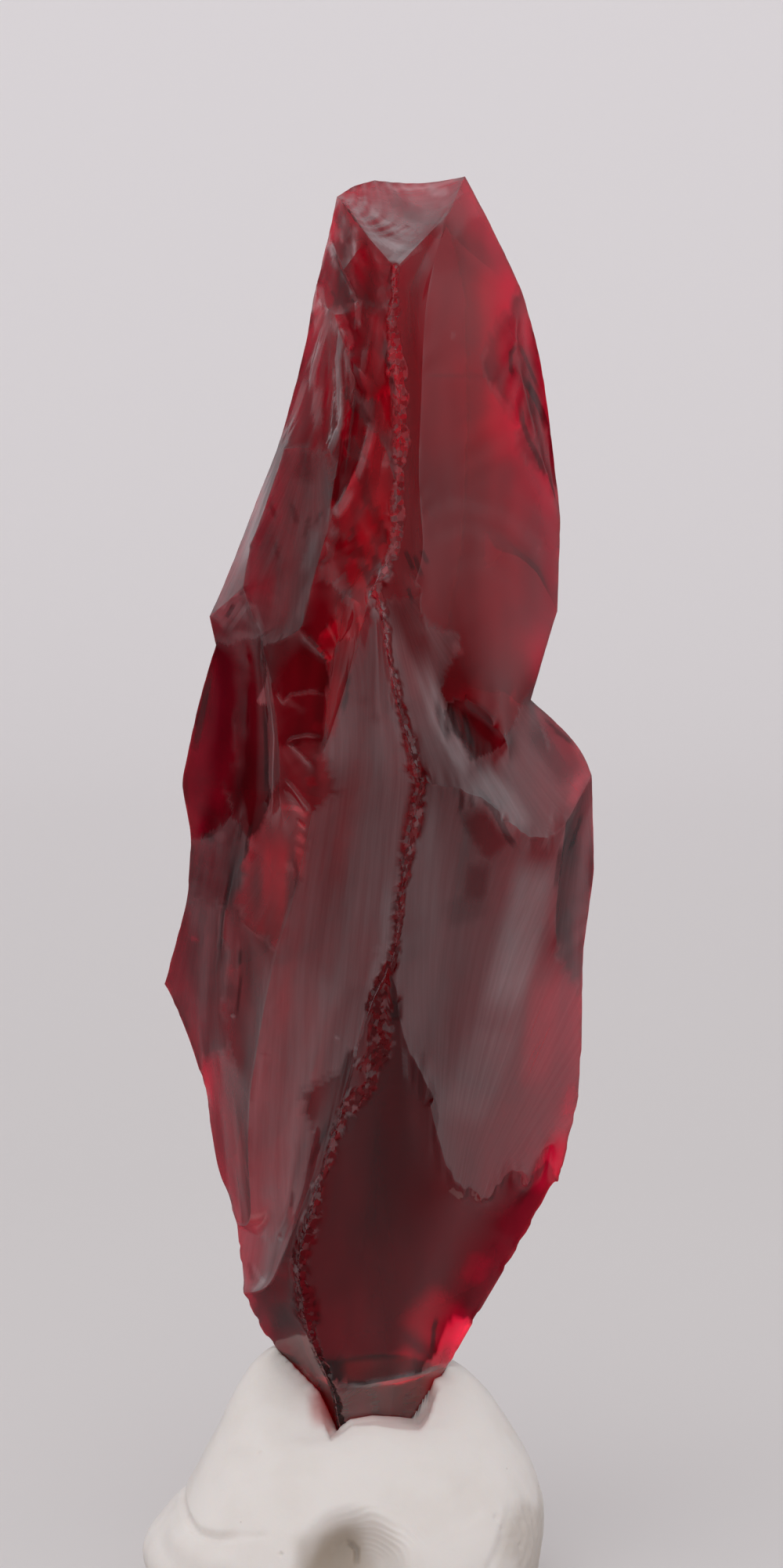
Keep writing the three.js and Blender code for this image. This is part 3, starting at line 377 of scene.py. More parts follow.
    ((0.1, 0.5, 1.2, 0.4, 0.04), [(-5.9, 58.9), (-5.3, 58), (-4.8, 58.5), (-3.6, 58.7), (-2.5, 58.5)]),
    ((0.1, 0.5, 1.2, 0.45, 0.04), [(-5.1, 55.5), (-4.7, 55.8), (-3.8, 56), (-2.8, 55.9)]),
    ((0.12, 0.5, 1.1, 0.4, 0.04), [(-5, 55.5), (-4.1, 54.7), (-3.4, 54)]),
    ((0.13, 0.5, 1.1, 0.6, 0.06), [(-5.2, 53.3), (-4.5, 52.5), (-3.9, 51.7), (-3.5, 51.2)]),
    ((0.3, 0.7, 1.6, -0.1), [(-3.6, 53.5), (-3.5, 52.7)]),
    ((0.35, 0.8, 1.5), [(-3.1, 56.5)]),
    ((0.3, 0.8, 1.5, 0.15), [(-2.9, 55), (-2.8, 53)]),
    # ruby
    ((0.8, 0.8, 1.35, -0.05), [(-9.7, 52.6), (-10.2, 50.9)]),
    ((0.6, 0.8, 0.95, -0.05), [(-8.4, 60.6), (-8.9, 58.6)]),
    ((0.2, 0.6, 0.5, 0.25), [(-9.9, 60.1), (-10.3, 58.1), (-10.7, 56.1), (-11, 54.6)]),
    ((0.4, 0.6, 0.6), [(-10, 49.5), (-10.3, 48.9)]),
    ((0.35, 0.7, 1.2, 0.2), [(-9.4, 49.3)]),
    (
        (0.13, 0.5, 1, 0.5, 0.05), [(-6.7, 61.8), (-6.5, 59.7), (-6.2, 57.7), (-6, 55.8), (-6.1, 53.5),
        (-6.1, 51.8), (-6.3, 50.1)]
    ),
    ((0.14, 0.5, 0.5, -0.3), [(-6.5, 57.7), (-6.4, 54.7), (-6.4, 51.8)]),
    ((0.13, 0.4, 0.5, -0.3), [(-7.3, 50.5), (-7.6, 49), (-7.7, 48.2)]),
    ((0.13, 0.4, 0.7, -0.2), [(-8, 50.2), (-8.2, 49)]),
    # ember
    ((0.1, 0.5, 1.3, 0.4, 0.05), [(-4.5, 50.7), (-3.9, 50.1)]),
    ((0.25, 0.8, 1.3, 0.3), [(-5.1, 48), (-4.8, 47.3)]),
    ((0.13, 0.5, 0.6, -0.2), [(-4.6, 48.3), (-4.4, 47.1), (-4.5, 46.1)]),
    ((0.75, 0.8, 2, -0.05), [(-5.6, 49.9), (-5.8, 47.4), (-5.9, 45), (-6.2, 42.8)]),
    ((0.3, 0.8, 1.5), [(-4.1, 49), (-4.6, 46.6)]),
    ((1.6, 1, 0.86, 0.15), [(-5.8, 48.7), (-5.9, 45.7), (-6.1, 43.3)]),
    # left side
    (
        (0.13, 0.4, 0.45, -0.2, -0.05), [(-8.5, 47.9), (-8.8, 46.2), (-9.2, 44.5), (-9.4, 42.7),
        (-9.5, 40.6)]
    ),
    ((0.25, 0.6, 0.7, -0.1), [(-10.4, 45.1), (-10.6, 43.1), (-11, 41)]),
    ((0.4, 0.8, 1, 0.2), [(-7.4, 49.8), (-7.9, 47.8), (-8.2, 45.3)]),
    ((0.12, 0.4, 0.4, -0.2), [(-8.1, 42.2), (-8.2, 41.1)]),
    ((0.12, 0.5, 0.5, -0.2), [(-8, 40.8), (-8.2, 39.2), (-8.4, 37.7)]),
    ((0.28, 0.7, 1.4, 0.1), [(-10.1, 43.4), (-10.1, 41.1), (-10.2, 39)]),
    ((0.13, 0.5, 2), [(-11.4, 42.6), (-10.7, 42.5)]),
    ((0.3, 0.8, 1.6), [(-9.1, 40.9), (-8.6, 40.7)]),
    ((0.5, 0.9, 0.7, -0.1), [(-8.7, 39.4)]),
    # flute
    ((0.3, 0.7, 1, 0.5), [(1.4, 47.4), (1.2, 45.2), (1, 43.2), (0.6, 41.5), (0.1, 40.2)]),
    ((0.7, 1, 0.9, 0.25), [(-0.7, 60.9), (-1.2, 58), (-1.7, 55), (-1.9, 52.5)]),
    ((0.7, 1, 1, -0.12), [(0, 45.8), (-0.7, 40.8), (-1.9, 36.8)]),
    ((0.8, 1, 1.35, -0.05), [(-2.7, 40.2), (-3.7, 35.1), (-4.7, 30.4)]),
    ((0.4, 0.9, 1.2, 0.35), [(-5.8, 43.5), (-6.3, 40), (-6.7, 37), (-7, 32.9), (-7.6, 29.8)]),
    ((0.8, 1, 0.9, 0.2), [(-6.2, 27.8), (-6, 24.6), (-6.3, 22.5)]),
    ((0.12, 0.4, 0.4, -0.3), [(-1.1, 60.1), (-1.3, 58.7), (-1.6, 57.2)]),
    ((0.35, 0.7, 1.5, 0.05), [(-1.7, 60.4), (-2.2, 57.9), (-2.5, 55.5)]),
    ((0.5, 1, 1.2, -0.15), [(-0.8, 55), (-1.4, 50.1), (-2.2, 45.2)]),
    ((0.35, 1, 1.25, -0.1), [(-4.1, 46.6), (-4.9, 41.1), (-5.9, 36)]),
    # band
    ((0.3, 0.7, 1, 0.3), [(-1.6, 32.5), (-2.2, 31), (-2.7, 29.5)]),
    ((0.14, 0.5, 0.6, -0.3), [(-2.4, 31.9), (-3.2, 29.8), (-3.7, 28.6)]),
    ((0.14, 0.5, 0.6, -0.4), [(-4.7, 26.9), (-4.9, 25.6)]),
    (
        (0.11, 0.5, 1, 0.9, 0.04), [(-0.7, 36.8), (-0.8, 36)], [(-0.5, 36), (-0.9, 35.4)],
        [(-1.1, 34.1), (-1.4, 33.3)], [(-0.9, 33.6), (-1.3, 32.9)]
    ),
    (
        (0.12, 0.5, 1, 0.9, 0.04), [(-1.4, 32.6), (-1.9, 31.7)], [(-1.7, 31.6), (-2.2, 30.9)],
        [(-2, 30.9), (-2.5, 30)], [(-2.4, 29.7), (-2.9, 28.7)], [(-2.9, 28.5), (-3.3, 27.7)],
        [(-3.8, 26.1), (-4.2, 25.2)]
    ),
    # bubbles
    ((0.12, 0.5, 1, 0.7, 0.05), [(-8.6, 37.8)]),
    ((0.14, 0.5, 1, 0.6, 0.05), [(-1.9, 37.1)]),
    ((0.15, 0.5, 1, 0.8, 0.06), [(-5.6, 23.6)]),
    ((0.18, 0.5, 1, 0.9, 0.06), [(-3.6, 27.8), (-3.2, 27.3), (-3.5, 26.9)]),
    # lower face: the strong glow factors here paint light into the red low on the face
    ((1.4, 1, 0.75), [(4.7, 60.4), (6.4, 58.9)]),
    ((1.7, 0.9, 3, -0.05), [(5.8, 19.5), (4.3, 18.1), (3, 16.8)]),
    ((1, 0.9, 0.78), [(7.2, 20.1), (6.3, 16.9), (5.3, 15.2)]),
    ((1, 1, 2.5, -0.1), [(3.3, 16.2), (2.3, 15.1)]),
    ((0.9, 0.9, 1.8, -0.35), [(13, 30), (11.6, 27.6), (10.6, 25.9)]),
    ((0.6, 0.9, 1.3, -0.1), [(13.4, 33.1), (13, 30.5)]),
    ((0.25, 0.6, 0.6), [(11.4, 28.3), (10.6, 27), (9.3, 25)]),
    ((0.15, 0.4, 0.3, 0.05), [(4.4, 18.4), (4.2, 17.3), (4.1, 15.6)]),
    ((1.9, 1, 0.75), [(1.5, 32.3), (2, 27.1), (0.5, 23)]),
    ((0.5, 1, 1.15, -0.05), [(-1.6, 31), (-2.7, 27.4), (-3.4, 24.3)]),
    ((0.7, 0.5, 0.5, -0.5, -0.12), [(1.5, 40.4), (1.4, 38.5)]),
    ((0.4, 0.5, 0.5, -0.5, -0.08), [(0.5, 39), (1.3, 37.2)]),
    ((0.8, 1, 1.7, -0.1), [(7.4, 22.3), (6.5, 20.2)]),
    ((1.6, 1, 1.2, 0.05), [(-2, 20.6), (0, 15.8)]),
    # left foot, and above the hem a glow factor of six that paints light into the red
    ((0.16, 0.5, 1, 0.45), [(-7.5, 21.6), (-7, 20.8), (-6.5, 20.6)]),
    ((0.14, 0.5, 0.7, -0.3), [(-7.7, 21.7), (-7.4, 20.3)]),
    ((0.25, 0.7, 1.5, 0.1), [(-7.8, 19.7), (-7.2, 18.8)]),
    ((0.8, 0.8, 0.6), [(-6, 19.6), (-5.3, 17.4)]),
    ((0.35, 0.6, 0.9, 0.9), [(-4.5, 14.9), (-3.8, 13.9), (-3.1, 12.9)]),
    ((0.5, 0.8, 1.8, -0.2), [(-3.2, 12.5), (-2.6, 11.3)]),
    ((0.9, 0.9, 2, 0.25), [(-2, 15.6), (0.5, 15.2), (2.8, 15.2)]),
    ((0.35, 0.8, 0.8, -0.1), [(3.5, 11.8), (4.5, 13.9)]),
    ((0.15, 0.6, 0.4, 0.5), [(-2.2, 14.3), (0.5, 14.3), (3, 14.5), (4.8, 14.8)]),
    ((0.6, 0.9, 6, -0.05), [(-1.7, 15.2), (0.5, 15.3), (3, 15.4)]),
]
POWDER_MARKS = [
    ((0.22, 0.5, 1.3, 0.3), [(5.3, 61.9), (5.6, 61.3), (5.9, 60.9)]),
    ((0.17, 0.5, 1.6, 0.2), [(-4.7, 51.5), (-4.1, 51.1), (-3.7, 50.9)], [(-4.4, 49.8), (-3.9, 49.3)]),
    ((0.4, 0.6, 1, 0.6, 0.05), [(0.5, 66.5), (1.2, 66.1)]),
    ((0.36, 0.6, 1, 0.6, 0.05), [(0.2, 65.5), (0.4, 64.1)]),
    (
        (0.17, 0.5, 1.5, 0.2), [(-5.5, 51.4), (-4.8, 51.4), (-4, 51.3)], [(-4.4, 50.4), (-3.8, 50.2)],
        [(-4.6, 49.6), (-3.9, 49.2)], [(-4.7, 48.9), (-4, 48.6)]
    ),
]
strokes = []
for rows in (MARKS, POWDER_MARKS):
    for style, *lines in rows:
        strokes += [(Mark(*style), line, rows is POWDER_MARKS) for line in lines]

# Its arrises. Where the two flanks meet, down the middle of the front, the edge is crushed to a band of
# tiny broken chips. Up the band, a row gives at its height the half width, the glow (painted light and
# shade in the red), the haze, and the share of chips that glint. Some scars also end in a line of spikes,
# drawn down by the length given.
RIGHT_FLANK = ("strip", "broadFace", "shelf", "greatScoop", "lowerFace", "hem")
NO_FLANK = ("platform", "edgeChip", "redChip", "rightChip")
LEFT_FLANK = [name for name in FRONT_SCARS if name not in RIGHT_FLANK + NO_FLANK]
RAGGED_ENDS = {
    ("greatScoop", "lowerFace"): 0.85,
    ("shelf", "greatScoop"): 0.3,
    ("redChip", "shelf"): 0.25,
}
BAND = {
    11: (0.4, 0.5, 0.1, 0.1),
    17: (0.4, 0.42, 0.03, 0.1),
    19: (0.8, 0.38, 0, 0.05),
    24: (0.7, 0.45, 0.02, 0.1),
    28: (0.5, 0.75, 0.15, 0.35),
    35: (0.5, 0.75, 0.12, 0.25),
    36.5: (0.8, 0.7, 0.1, 0.2),
    40: (0.8, 0.7, 0.04, 0.1),
    41.5: (0.5, 0.95, 0.04, 0.12),
    48: (0.55, 1.05, 0.06, 0.15),
    50: (0.8, 1.1, 0.1, 0.3),
    56: (0.8, 1, 0.04, 0.15),
    58: (0.6, 1.2, 0.1, 0.12),
    62: (0.55, 1.8, 0.6, 0.5),
    66: (0.45, 2.1, 0.8, 0.65),
    72: (0.35, 1.9, 0.4, 0.4),
    74: (0.5, 2.1, 0.35, 0.4),
    80: (0.5, 2.1, 0.4, 0.4),
    81: (0.35, 1.8, 0.45, 0.35),
    88: (0.3, 1.6, 0.45, 0.35),
}
POWDER_UP_BAND = {16: 0.04, 40: 0.05, 54: 0.06, 58: 0.2, 62: 0.42, 66: 0.42, 70: 0.16, 76: 0.22, 86: 0.14}


def borders_between(mesh, ones, others):
    """The places along the border of two groups of scars."""
    one = {scar_names.index(name) for name in ones}
    other = {scar_names.index(name) for name in others}
    found = set()
    for edge in mesh.edges:
        if len(edge.link_faces) != 2:
            continue
        first, second = (face[scar_layer] for face in edge.link_faces)
        if (first in one and second in other) or (first in other and second in one):
            found.update(edge.verts)
    return [vertex.co / MM for vertex in found]


def tree_of(places):
    """A tree that finds the nearest of some places."""
    tree = kdtree.KDTree(len(places))
    for index, place in enumerate(places):
        tree.insert(place, index)
    tree.balance()
    return tree


def gaps_to(tree, places):
    """Distance from each place to the nearest one in a tree."""
    return np.array([tree.find(place)[2] for place in places])


def gaps_to_line(places, line):
    """Distance in x and z from each place to a line through points, and how far along it (0 to 1)."""
    line = np.array(line, float)
    if len(line) == 1:
        return np.hypot(*(places - line[0]).T), np.full(len(places), 0.5)
    best = np.full(len(places), np.inf)
    along = np.zeros(len(places))
    for step, (start, end) in enumerate(zip(line, line[1:])):
        run = end - start
        share = np.clip((places - start) @ run / (run @ run), 0, 1)
        gap = np.hypot(*(places - start - share[:, None] * run).T)
        along = np.where(gap < best, (step + share) / (len(line) - 1), along)
        best = np.minimum(best, gap)
    return best, along


# The skin is cut finer near the arrises and the thin marks, and once more at the crushed band.
THIN_MARK = 0.22
MARK_REACH = 0.28
ARRIS_REACH = 0.75
BAND_REACH = 0.48
arris = tree_of(borders_between(skin, RIGHT_FLANK, LEFT_FLANK))
outline = tree_of(borders_between(skin, FRONT_SCARS, BACK_SCARS))
ragged = {pair: tree_of(borders_between(skin, pair[:1], pair[1:])) for pair in RAGGED_ENDS}
thin_lines = [line for mark, line, _ in strokes if mark.width < THIN_MARK]
sharp_ends = (arris, *ragged.values())
front_numbers = {scar_names.index(name) for name in FRONT_SCARS}
for trees, reach, lines in ((sharp_ends, ARRIS_REACH, thin_lines), ((arris,), BAND_REACH, ())):
    centres = np.array([face.calc_center_median() for face in skin.faces]) / MM
    in_front = np.array([face[scar_layer] in front_numbers for face in skin.faces])
    fine = np.min([gaps_to(tree, centres) for tree in trees], axis=0) < reach
    for line in lines:
        fine |= in_front & (gaps_to_line(centres[:, ::2], line)[0] < MARK_REACH)
    skin.faces.ensure_lookup_table()
    near = {edge for index in np.flatnonzero(fine) for edge in skin.faces[index].edges}
    bmesh.ops.subdivide_edges(skin, edges=list(near), cuts=1, use_grid_fill=True)
put_back(skin, data)


def read(items, field, width=1, kind=float):
    """One field of all the items of a mesh, as an array."""
    values = np.empty(len(items) * width, kind)
    items.foreach_get(field, values)
    return values.reshape(-1, width) if width > 1 else values


def write_values(mesh, **fields):
    """Keeps values on the points of a mesh, for its materials to read."""
    for name, values in fields.items():
        mesh.attributes.new(name, "FLOAT", "POINT").data.foreach_set("value", values)


points = read(data.vertices, "co", 3) / MM
normals = read(data.vertices, "normal", 3)
loop_vertex = read(data.loops, "vertex_index", kind=int)
face_scar = read(data.attributes["scar"].data, "value", kind=int)
loop_scar = np.repeat(face_scar, read(data.polygons, "loop_total", kind=int))


def around_blow(number, places):
    """Distance from the blow, and length round it, for places on one scar."""
    of_scar = np.unique(loop_vertex[loop_scar == number])
    middle = points[of_scar].mean(axis=0)
    facing = normals[of_scar].mean(axis=0)
    facing /= np.linalg.norm(facing)
    x, z = SCARS[scar_names[number]].blow
    blow = np.array([x, middle[1], z])
    blow -= ((blow - middle) @ facing) * facing
    ahead = middle - blow
    reach = np.linalg.norm(ahead)
    ahead /= reach
    aside = np.cross(facing, ahead)
    way = places - blow
    return np.hypot(way @ ahead, way @ aside), np.arctan2(way @ aside, way @ ahead) * reach


def points_on(names):
    """1 for each point on any of the named scars, and 0 for the others."""
    found = np.zeros(len(points))
    found[loop_vertex[np.isin(loop_scar, [scar_names.index(name) for name in names])]] = 1
    return found


def noise_at(*places):
    """Smooth noise, about -1 to 1, for each place, given whole or as x, y and z."""
    return np.array([noise.noise(place) for place in np.column_stack(places)])


def chance_at(place):
    """An even random number from 0 to 1 for a cell of space."""
    return 0.5 + 0.5 * noise.cell(place)


def smooth(share):
    """Eases a share between 0 and 1, and holds it there outside."""
    share = np.clip(share, 0, 1)
    return share * share * (3 - 2 * share)


def tapered(along, blunt):
    """The strength along a stroke: full in the middle, and fading to a blunt share at both ends."""
    return smooth(blunt + np.minimum(along, 1 - along) / 0.3)


# Ripples and hackles, each scar with its own, and shared where scars meet.
RELIEF = 1.6
WANDER_SIZE = 5.5
WANDER = 1.4
PATCH_SIZE = 3.4
lift = np.zeros(len(points))
shares = np.zeros(len(points))
looks = {look: np.zeros(len(points)) for look in ("satin", "glow", "haze")}
of_front = np.zeros(len(points))
loop_grain = np.zeros((len(loop_vertex), 2))
for number, name in enumerate(scar_names):
    mine = loop_scar == number
    if not mine.any():
        continue
    of_scar = np.unique(loop_vertex[mine])
    scar = SCARS[name]
    places = points[of_scar]
    away, along = around_blow(number, places)
    height, gap = scar.ripples
    wander = WANDER * noise_at(places / WANDER_SIZE)
    patches = smooth(0.5 + 1.6 * noise_at(places / PATCH_SIZE + 9))
    lift[of_scar] += height * np.sin(2 * np.pi * (away / gap + wander)) * patches
    height, gap = scar.hackles
    row = np.full(len(of_scar), number)
    lines = noise_at(along / gap, away / (gap * 9), row * 3.7)
    lines += 0.5 * noise_at(along / gap * 2.3, away / (gap * 6), row * 5.1)
    lift[of_scar] += height * (0.4 - 2 * np.abs(lines))
    for look in looks:
        looks[look][of_scar] += getattr(scar, look)
    of_front[of_scar] += name in FRONT_SCARS
    shares[of_scar] += 1
    spread = around_blow(number, points[loop_vertex[mine]])
    loop_grain[mine] = np.column_stack((spread[1], spread[0]))
lift *= RELIEF / shares
for look in looks:
    looks[look] /= shares
of_front /= shares

# The red inside is cloudy, less so under the smooth scars.
SMOOTH_SCARS = ("broadFace", "strip", "platform", "greatScoop", "lowerFace", "shelf", "flute")
CLOUD_SIZE = (0.9, 3, 3.2)
CLOUDS = 0.56
CALM = 0.75
looks["glow"] *= 1 + CLOUDS * noise_at(points / CLOUD_SIZE) * (1 - CALM * points_on(SMOOTH_SCARS))

# At the upper left the glass is split into slanting splinters, some of them brighter, some hazy.
SPLINTERED = ("bevel", "pit", "bevelLow", "long1", "long2", "long3", "cheek", "cheekLow")
SPLINTER_SIZE = (0.75, 2.5, 2.2)
SPLINTER_SLANT = 0.35
SPLINTER_STEP = 0.06
DIMMEST_SPLINTER = 0.6
HAZY_SPLINTERS = 0.4
slanted = (points + SPLINTER_SLANT * np.outer(points[:, 2], (1, 0, 0))) / SPLINTER_SIZE
for index in np.flatnonzero(points_on(SPLINTERED)):
    centre = noise.voronoi(slanted[index])[1][0]
    looks["glow"][index] *= DIMMEST_SPLINTER + 0.85 * chance_at(centre * 5.3)
    looks["haze"][index] += 1.2 * max(0, chance_at(centre * 9.7) - 1 + HAZY_SPLINTERS) - 0.12
    lift[index] += SPLINTER_STEP * (chance_at(centre * 3.1) - 0.5)

# The small marks, drawn on the front.
powder = np.zeros(len(points))
for mark, line, powdered in strokes:
    gap, along = gaps_to_line(points[:, ::2], line)
    blur = mark.width * mark.soft
    share = of_front * smooth((mark.width + blur / 2 - gap) / max(blur, 0.05)) * tapered(along, 0.15)
    looks["glow"] *= 1 + (mark.glow - 1) * share
    looks["haze"] += mark.haze * share
    lift += mark.height * share
    if powdered:
        powder = np.maximum(powder, share)

# Wear where scars meet, and small nicks along the outline, which shows darker. The edge is nicked all
# the way up to the first height, and above the second only a little.
WEAR = 0.25
WEAR_SIZE = 1.3
RIM_WIDTH = 0.35
RIM_SHADE = 0.6
RIM_PATCH = 1.5
NICK_DEPTH = 0.1
NICK_SIZE = 0.8
NICKED_UP_TO = ((34, 42), (1, 0.2))
meets = (shares > 1) & (of_front == 1)
looks["haze"] += meets * WEAR * np.clip(0.3 + 2 * noise_at(points / WEAR_SIZE), 0, 1)
rim = smooth(1 - gaps_to(outline, points) / RIM_WIDTH)
patches = 0.6 + 0.4 * np.sign(noise_at(points / RIM_PATCH + 3))
looks["glow"] *= 1 - RIM_SHADE * rim * of_front * patches
lift *= 1 - 0.7 * rim
nicks = np.clip(0.1 + 3 * noise_at(points / NICK_SIZE), 0, 1)
lift -= NICK_DEPTH * rim * np.interp(points[:, 2], *NICKED_UP_TO) * nicks

# The crushed band: tilted chips, some of them glinting and some of them powder.
BAND_RAGS = ((0.55, 1.3), (0.5, 0.45))
BAND_BORDER = 0.12
CHIP_SIZE = 0.36
CHIP_TILT = 0.35
CHIP_DEPTH = 0.05
GLINT_HAZE = 0.7
BRIGHTEST = 3
DIMMEST = 0.05
MOST_HAZE = 1.6
heights = points[:, 2]
band_width, band_glow, band_haze, band_glints = (
    np.interp(heights, list(BAND), values) for values in zip(*BAND.values())
)
band_powder = np.interp(heights, list(POWDER_UP_BAND), list(POWDER_UP_BAND.values()))
band_width *= 1 + sum(share * noise_at(points / size) for share, size in BAND_RAGS)
crushed = smooth((band_width - gaps_to(arris, points)) / BAND_BORDER + 0.5)
lift *= 1 - 0.7 * crushed
for index in np.flatnonzero(crushed > 0):
    place = Vector(points[index] / CHIP_SIZE)
    centre = noise.voronoi(place)[1][0]
    tilt = noise.cell_vector(centre * 7.31) - Vector((0.5, 0.5, 0.5))
    rise = CHIP_TILT * CHIP_SIZE * (place - centre).dot(tilt)
    lift[index] += crushed[index] * (rise - CHIP_DEPTH * (1 + chance_at(centre * 3.7 + tilt)))
    band_glow[index] *= 0.6 + 0.7 * chance_at(centre * 5.3 + tilt)
    if chance_at(centre * 2.9 + tilt) < band_powder[index]:
        powder[index] = crushed[index]
    glint = smooth(0.5 + (band_glints[index] - chance_at(centre * 9.1 + tilt)) / 0.3)
    band_haze[index] += GLINT_HAZE * glint
looks["glow"] += crushed * (band_glow - looks["glow"])
looks["haze"] += crushed * (band_haze - looks["haze"])
looks["glow"] = np.clip(looks["glow"], DIMMEST, BRIGHTEST)
looks["haze"] = np.clip(looks["haze"], 0, MOST_HAZE)

# The spikes, torn down out of the ends of scars.
TORN_REACH = 1.9
TEARS = ((1.1, 1.7, 14, 0), (0.45, 0.36, 5, 8))
shift = normals * lift[:, None]
for pair, tree in ragged.items():
    held = smooth(1 - gaps_to(tree, points) / TORN_REACH)
    close = np.flatnonzero(held > 0)
    across, deep, down = points[close].T
    spikes = 0.1 + 0.6 * np.abs(noise_at(across / 0.75, down / 9, deep / 3 + 5))
    for share, wide, long, apart in TEARS:
        spikes += share * noise_at(across / wide, down / long, deep / 3 + apart)
    shift[close, 2] -= RAGGED_ENDS[pair] * spikes * held[close]
points += shift
data.vertices.foreach_set("co", (points * MM).ravel())
data.uv_layers.new(name="grain").data.foreach_set("uv", loop_grain.ravel())
write_values(data, **looks, crushed=crushed, powder=powder)
data.update()

# Edges stay sharp where two scars or two chips meet at more than these angles.
SHARP_BORDER = 14
SHARP_CHIP = 9
finish = opened(data)
scar_layer = finish.faces.layers.int["scar"]
crush_layer = finish.verts.layers.float["crushed"]
powder_layer = finish.verts.layers.float["powder"]
for face in finish.faces:
    face.smooth = True
    face.material_index = sum(vertex[powder_layer] for vertex in face.verts) > 0.5 * len(face.verts)
for edge in finish.edges:
    faces = edge.link_faces
    border = faces[0][scar_layer] != faces[1][scar_layer]
    broken = min(vertex[crush_layer] for vertex in edge.verts) > 0.5
    fold = math.degrees(edge.calc_face_angle(0))
    edge.smooth = not ((border and fold > SHARP_BORDER) or (broken and fold > SHARP_CHIP))
put_back(finish, data)
data.attributes.remove(data.attributes["scar"])

# The glass itself, plain and deep red. Its broken faces are satin, and spread the light that leaves it.
# How much light a metre of it takes up is given for red, green and blue.
GLASS_IOR = 1.52
SATIN_INSIDE = 0.85
SATIN_OUTSIDE = 0.6
GLASS_TINT = (1.0, 0.03, 0.08, 1)
TAKEN_UP = (110, 2000, 190)
DENSITY = 3000
HAZE_ROUGHNESS = 0.5
HAZE_IOR = 2.5
HAZE_LINE = (0.38, 9)
CRUSHED_DULL = 0.6


def new_material(name):
    """A named material, with its tree and its shader."""
    material = bpy.data.materials.new(name)
    material.use_nodes = True
    return material, material.node_tree, material.node_tree.nodes["Principled BSDF"]


def feed(socket, value):
    """Gives a socket a plain value, or links an output to it."""
    if isinstance(value, bpy.types.NodeSocket):
        socket.id_data.links.new(value, socket)
    else:
        socket.default_value = value


def add(tree, kind, inputs=None, **settings):
    """A new node with its settings and its inputs."""
    node = tree.nodes.new("ShaderNode" + kind)
    for name, value in settings.items():
        setattr(node, name, value)
    for name, value in (inputs or {}).items():
        feed(node.inputs[name], value)
    return node


def value_of(tree, attribute):
    """A value kept on the points of the mesh."""
    return add(tree, "Attribute", attribute_name=attribute).outputs["Fac"]


def worked(tree, operation, *values):
    """One step of arithmetic."""
    return add(tree, "Math", dict(enumerate(values)), operation=operation).outputs["Value"]


def blend(tree, share, one, two):
    """A colour between two colours."""
    return add(tree, "Mix", {"Factor": share, 6: one, 7: two}, data_type="RGBA").outputs[2]


def fitted(tree, value, low, high, new_low=0, new_high=1, way="SMOOTHSTEP"):
    """A value moved from one range to another."""
    ends = {"From Min": low, "From Max": high, "To Min": new_low, "To Max": new_high}
    return add(tree, "MapRange", {"Value": value, **ends}, interpolation_type=way).outputs["Result"]


glass, tree, shader = new_material("red_glass")
shader.inputs["IOR"].default_value = GLASS_IOR
shader.inputs["Transmission Weight"].default_value = 1
shader.inputs["Coat Roughness"].default_value = HAZE_ROUGHNESS
shader.inputs["Coat IOR"].default_value = HAZE_IOR
inside = add(tree, "NewGeometry").outputs["Backfacing"]
outside = worked(tree, "SUBTRACT", 1, inside)
grain_map = add(tree, "UVMap", uv_map="grain").outputs["UV"]
drawn = (1 / HAZE_LINE[0], 1 / HAZE_LINE[1], 1)
spread = add(tree, "Mapping", {"Vector": grain_map, "Scale": drawn}).outputs["Vector"]
hackled = add(tree, "TexNoise", {"Vector": spread, "Scale": 1, "Detail": 3, "Roughness": 0.65})
hackled = fitted(tree, hackled.outputs["Fac"], 0.3, 0.7, 0.8, 1.2, "LINEAR")
hazy = worked(tree, "MULTIPLY", value_of(tree, "haze"), hackled)
feed(shader.inputs["Coat Weight"], worked(tree, "MULTIPLY", hazy, outside))
satin = worked(tree, "MULTIPLY", worked(tree, "MULTIPLY", value_of(tree, "satin"), SATIN_OUTSIDE), outside)
satin = worked(tree, "ADD", satin, worked(tree, "MULTIPLY", inside, SATIN_INSIDE))
feed(shader.inputs["Roughness"], satin)
dulled = worked(tree, "MULTIPLY", value_of(tree, "crushed"), CRUSHED_DULL)
feed(shader.inputs["Specular Tint"], worked(tree, "SUBTRACT", 1, dulled))
# The glow's painted light and shade darken the red at the surface towards black; inside faces keep the full
# red.
clear = worked(tree, "POWER", worked(tree, "MULTIPLY", value_of(tree, "glow"), 1 / BRIGHTEST), 2)
clear = worked(tree, "MAXIMUM", clear, inside)
feed(shader.inputs["Base Color"], blend(tree, clear, (0, 0, 0, 1), GLASS_TINT))
absorption = add(tree, "VolumeAbsorption")
absorption.inputs["Color"].default_value = (*(1 - taken / DENSITY for taken in TAKEN_UP), 1)
absorption.inputs["Density"].default_value = DENSITY
feed(tree.nodes["Material Output"].inputs["Volume"], absorption.outputs["Volume"])
data.materials.clear()
data.materials.append(glass)

# Where the glass is crushed to powder or lies in flat chips, it scatters the light, pink to orange.
POWDER_SIZE = 0.3
POWDER_ROUGHNESS = 0.35
POWDER_COLOURS = {
    0: (0.22, 0.02, 0.02),
    0.38: (0.6, 0.13, 0.06),
    0.48: (0.4, 0.06, 0.05),
    0.62: (0.5, 0.22, 0.2),
}
glass_powder, tree, shader = new_material("glass_powder")
shader.inputs["Roughness"].default_value = POWDER_ROUGHNESS
place = add(tree, "TexCoord").outputs["Object"]
bits = add(tree, "TexVoronoi", {"Vector": place, "Scale": 1 / (POWDER_SIZE * MM)})
colours = add(tree, "ValToRGB", {"Fac": bits.outputs["Color"]})
colours.color_ramp.interpolation = "CONSTANT"
while len(colours.color_ramp.elements) < len(POWDER_COLOURS):
    colours.color_ramp.elements.new(0.5)
for element, (position, colour) in zip(colours.color_ramp.elements, POWDER_COLOURS.items()):
    element.position = position
    element.color = (*colour, 1)
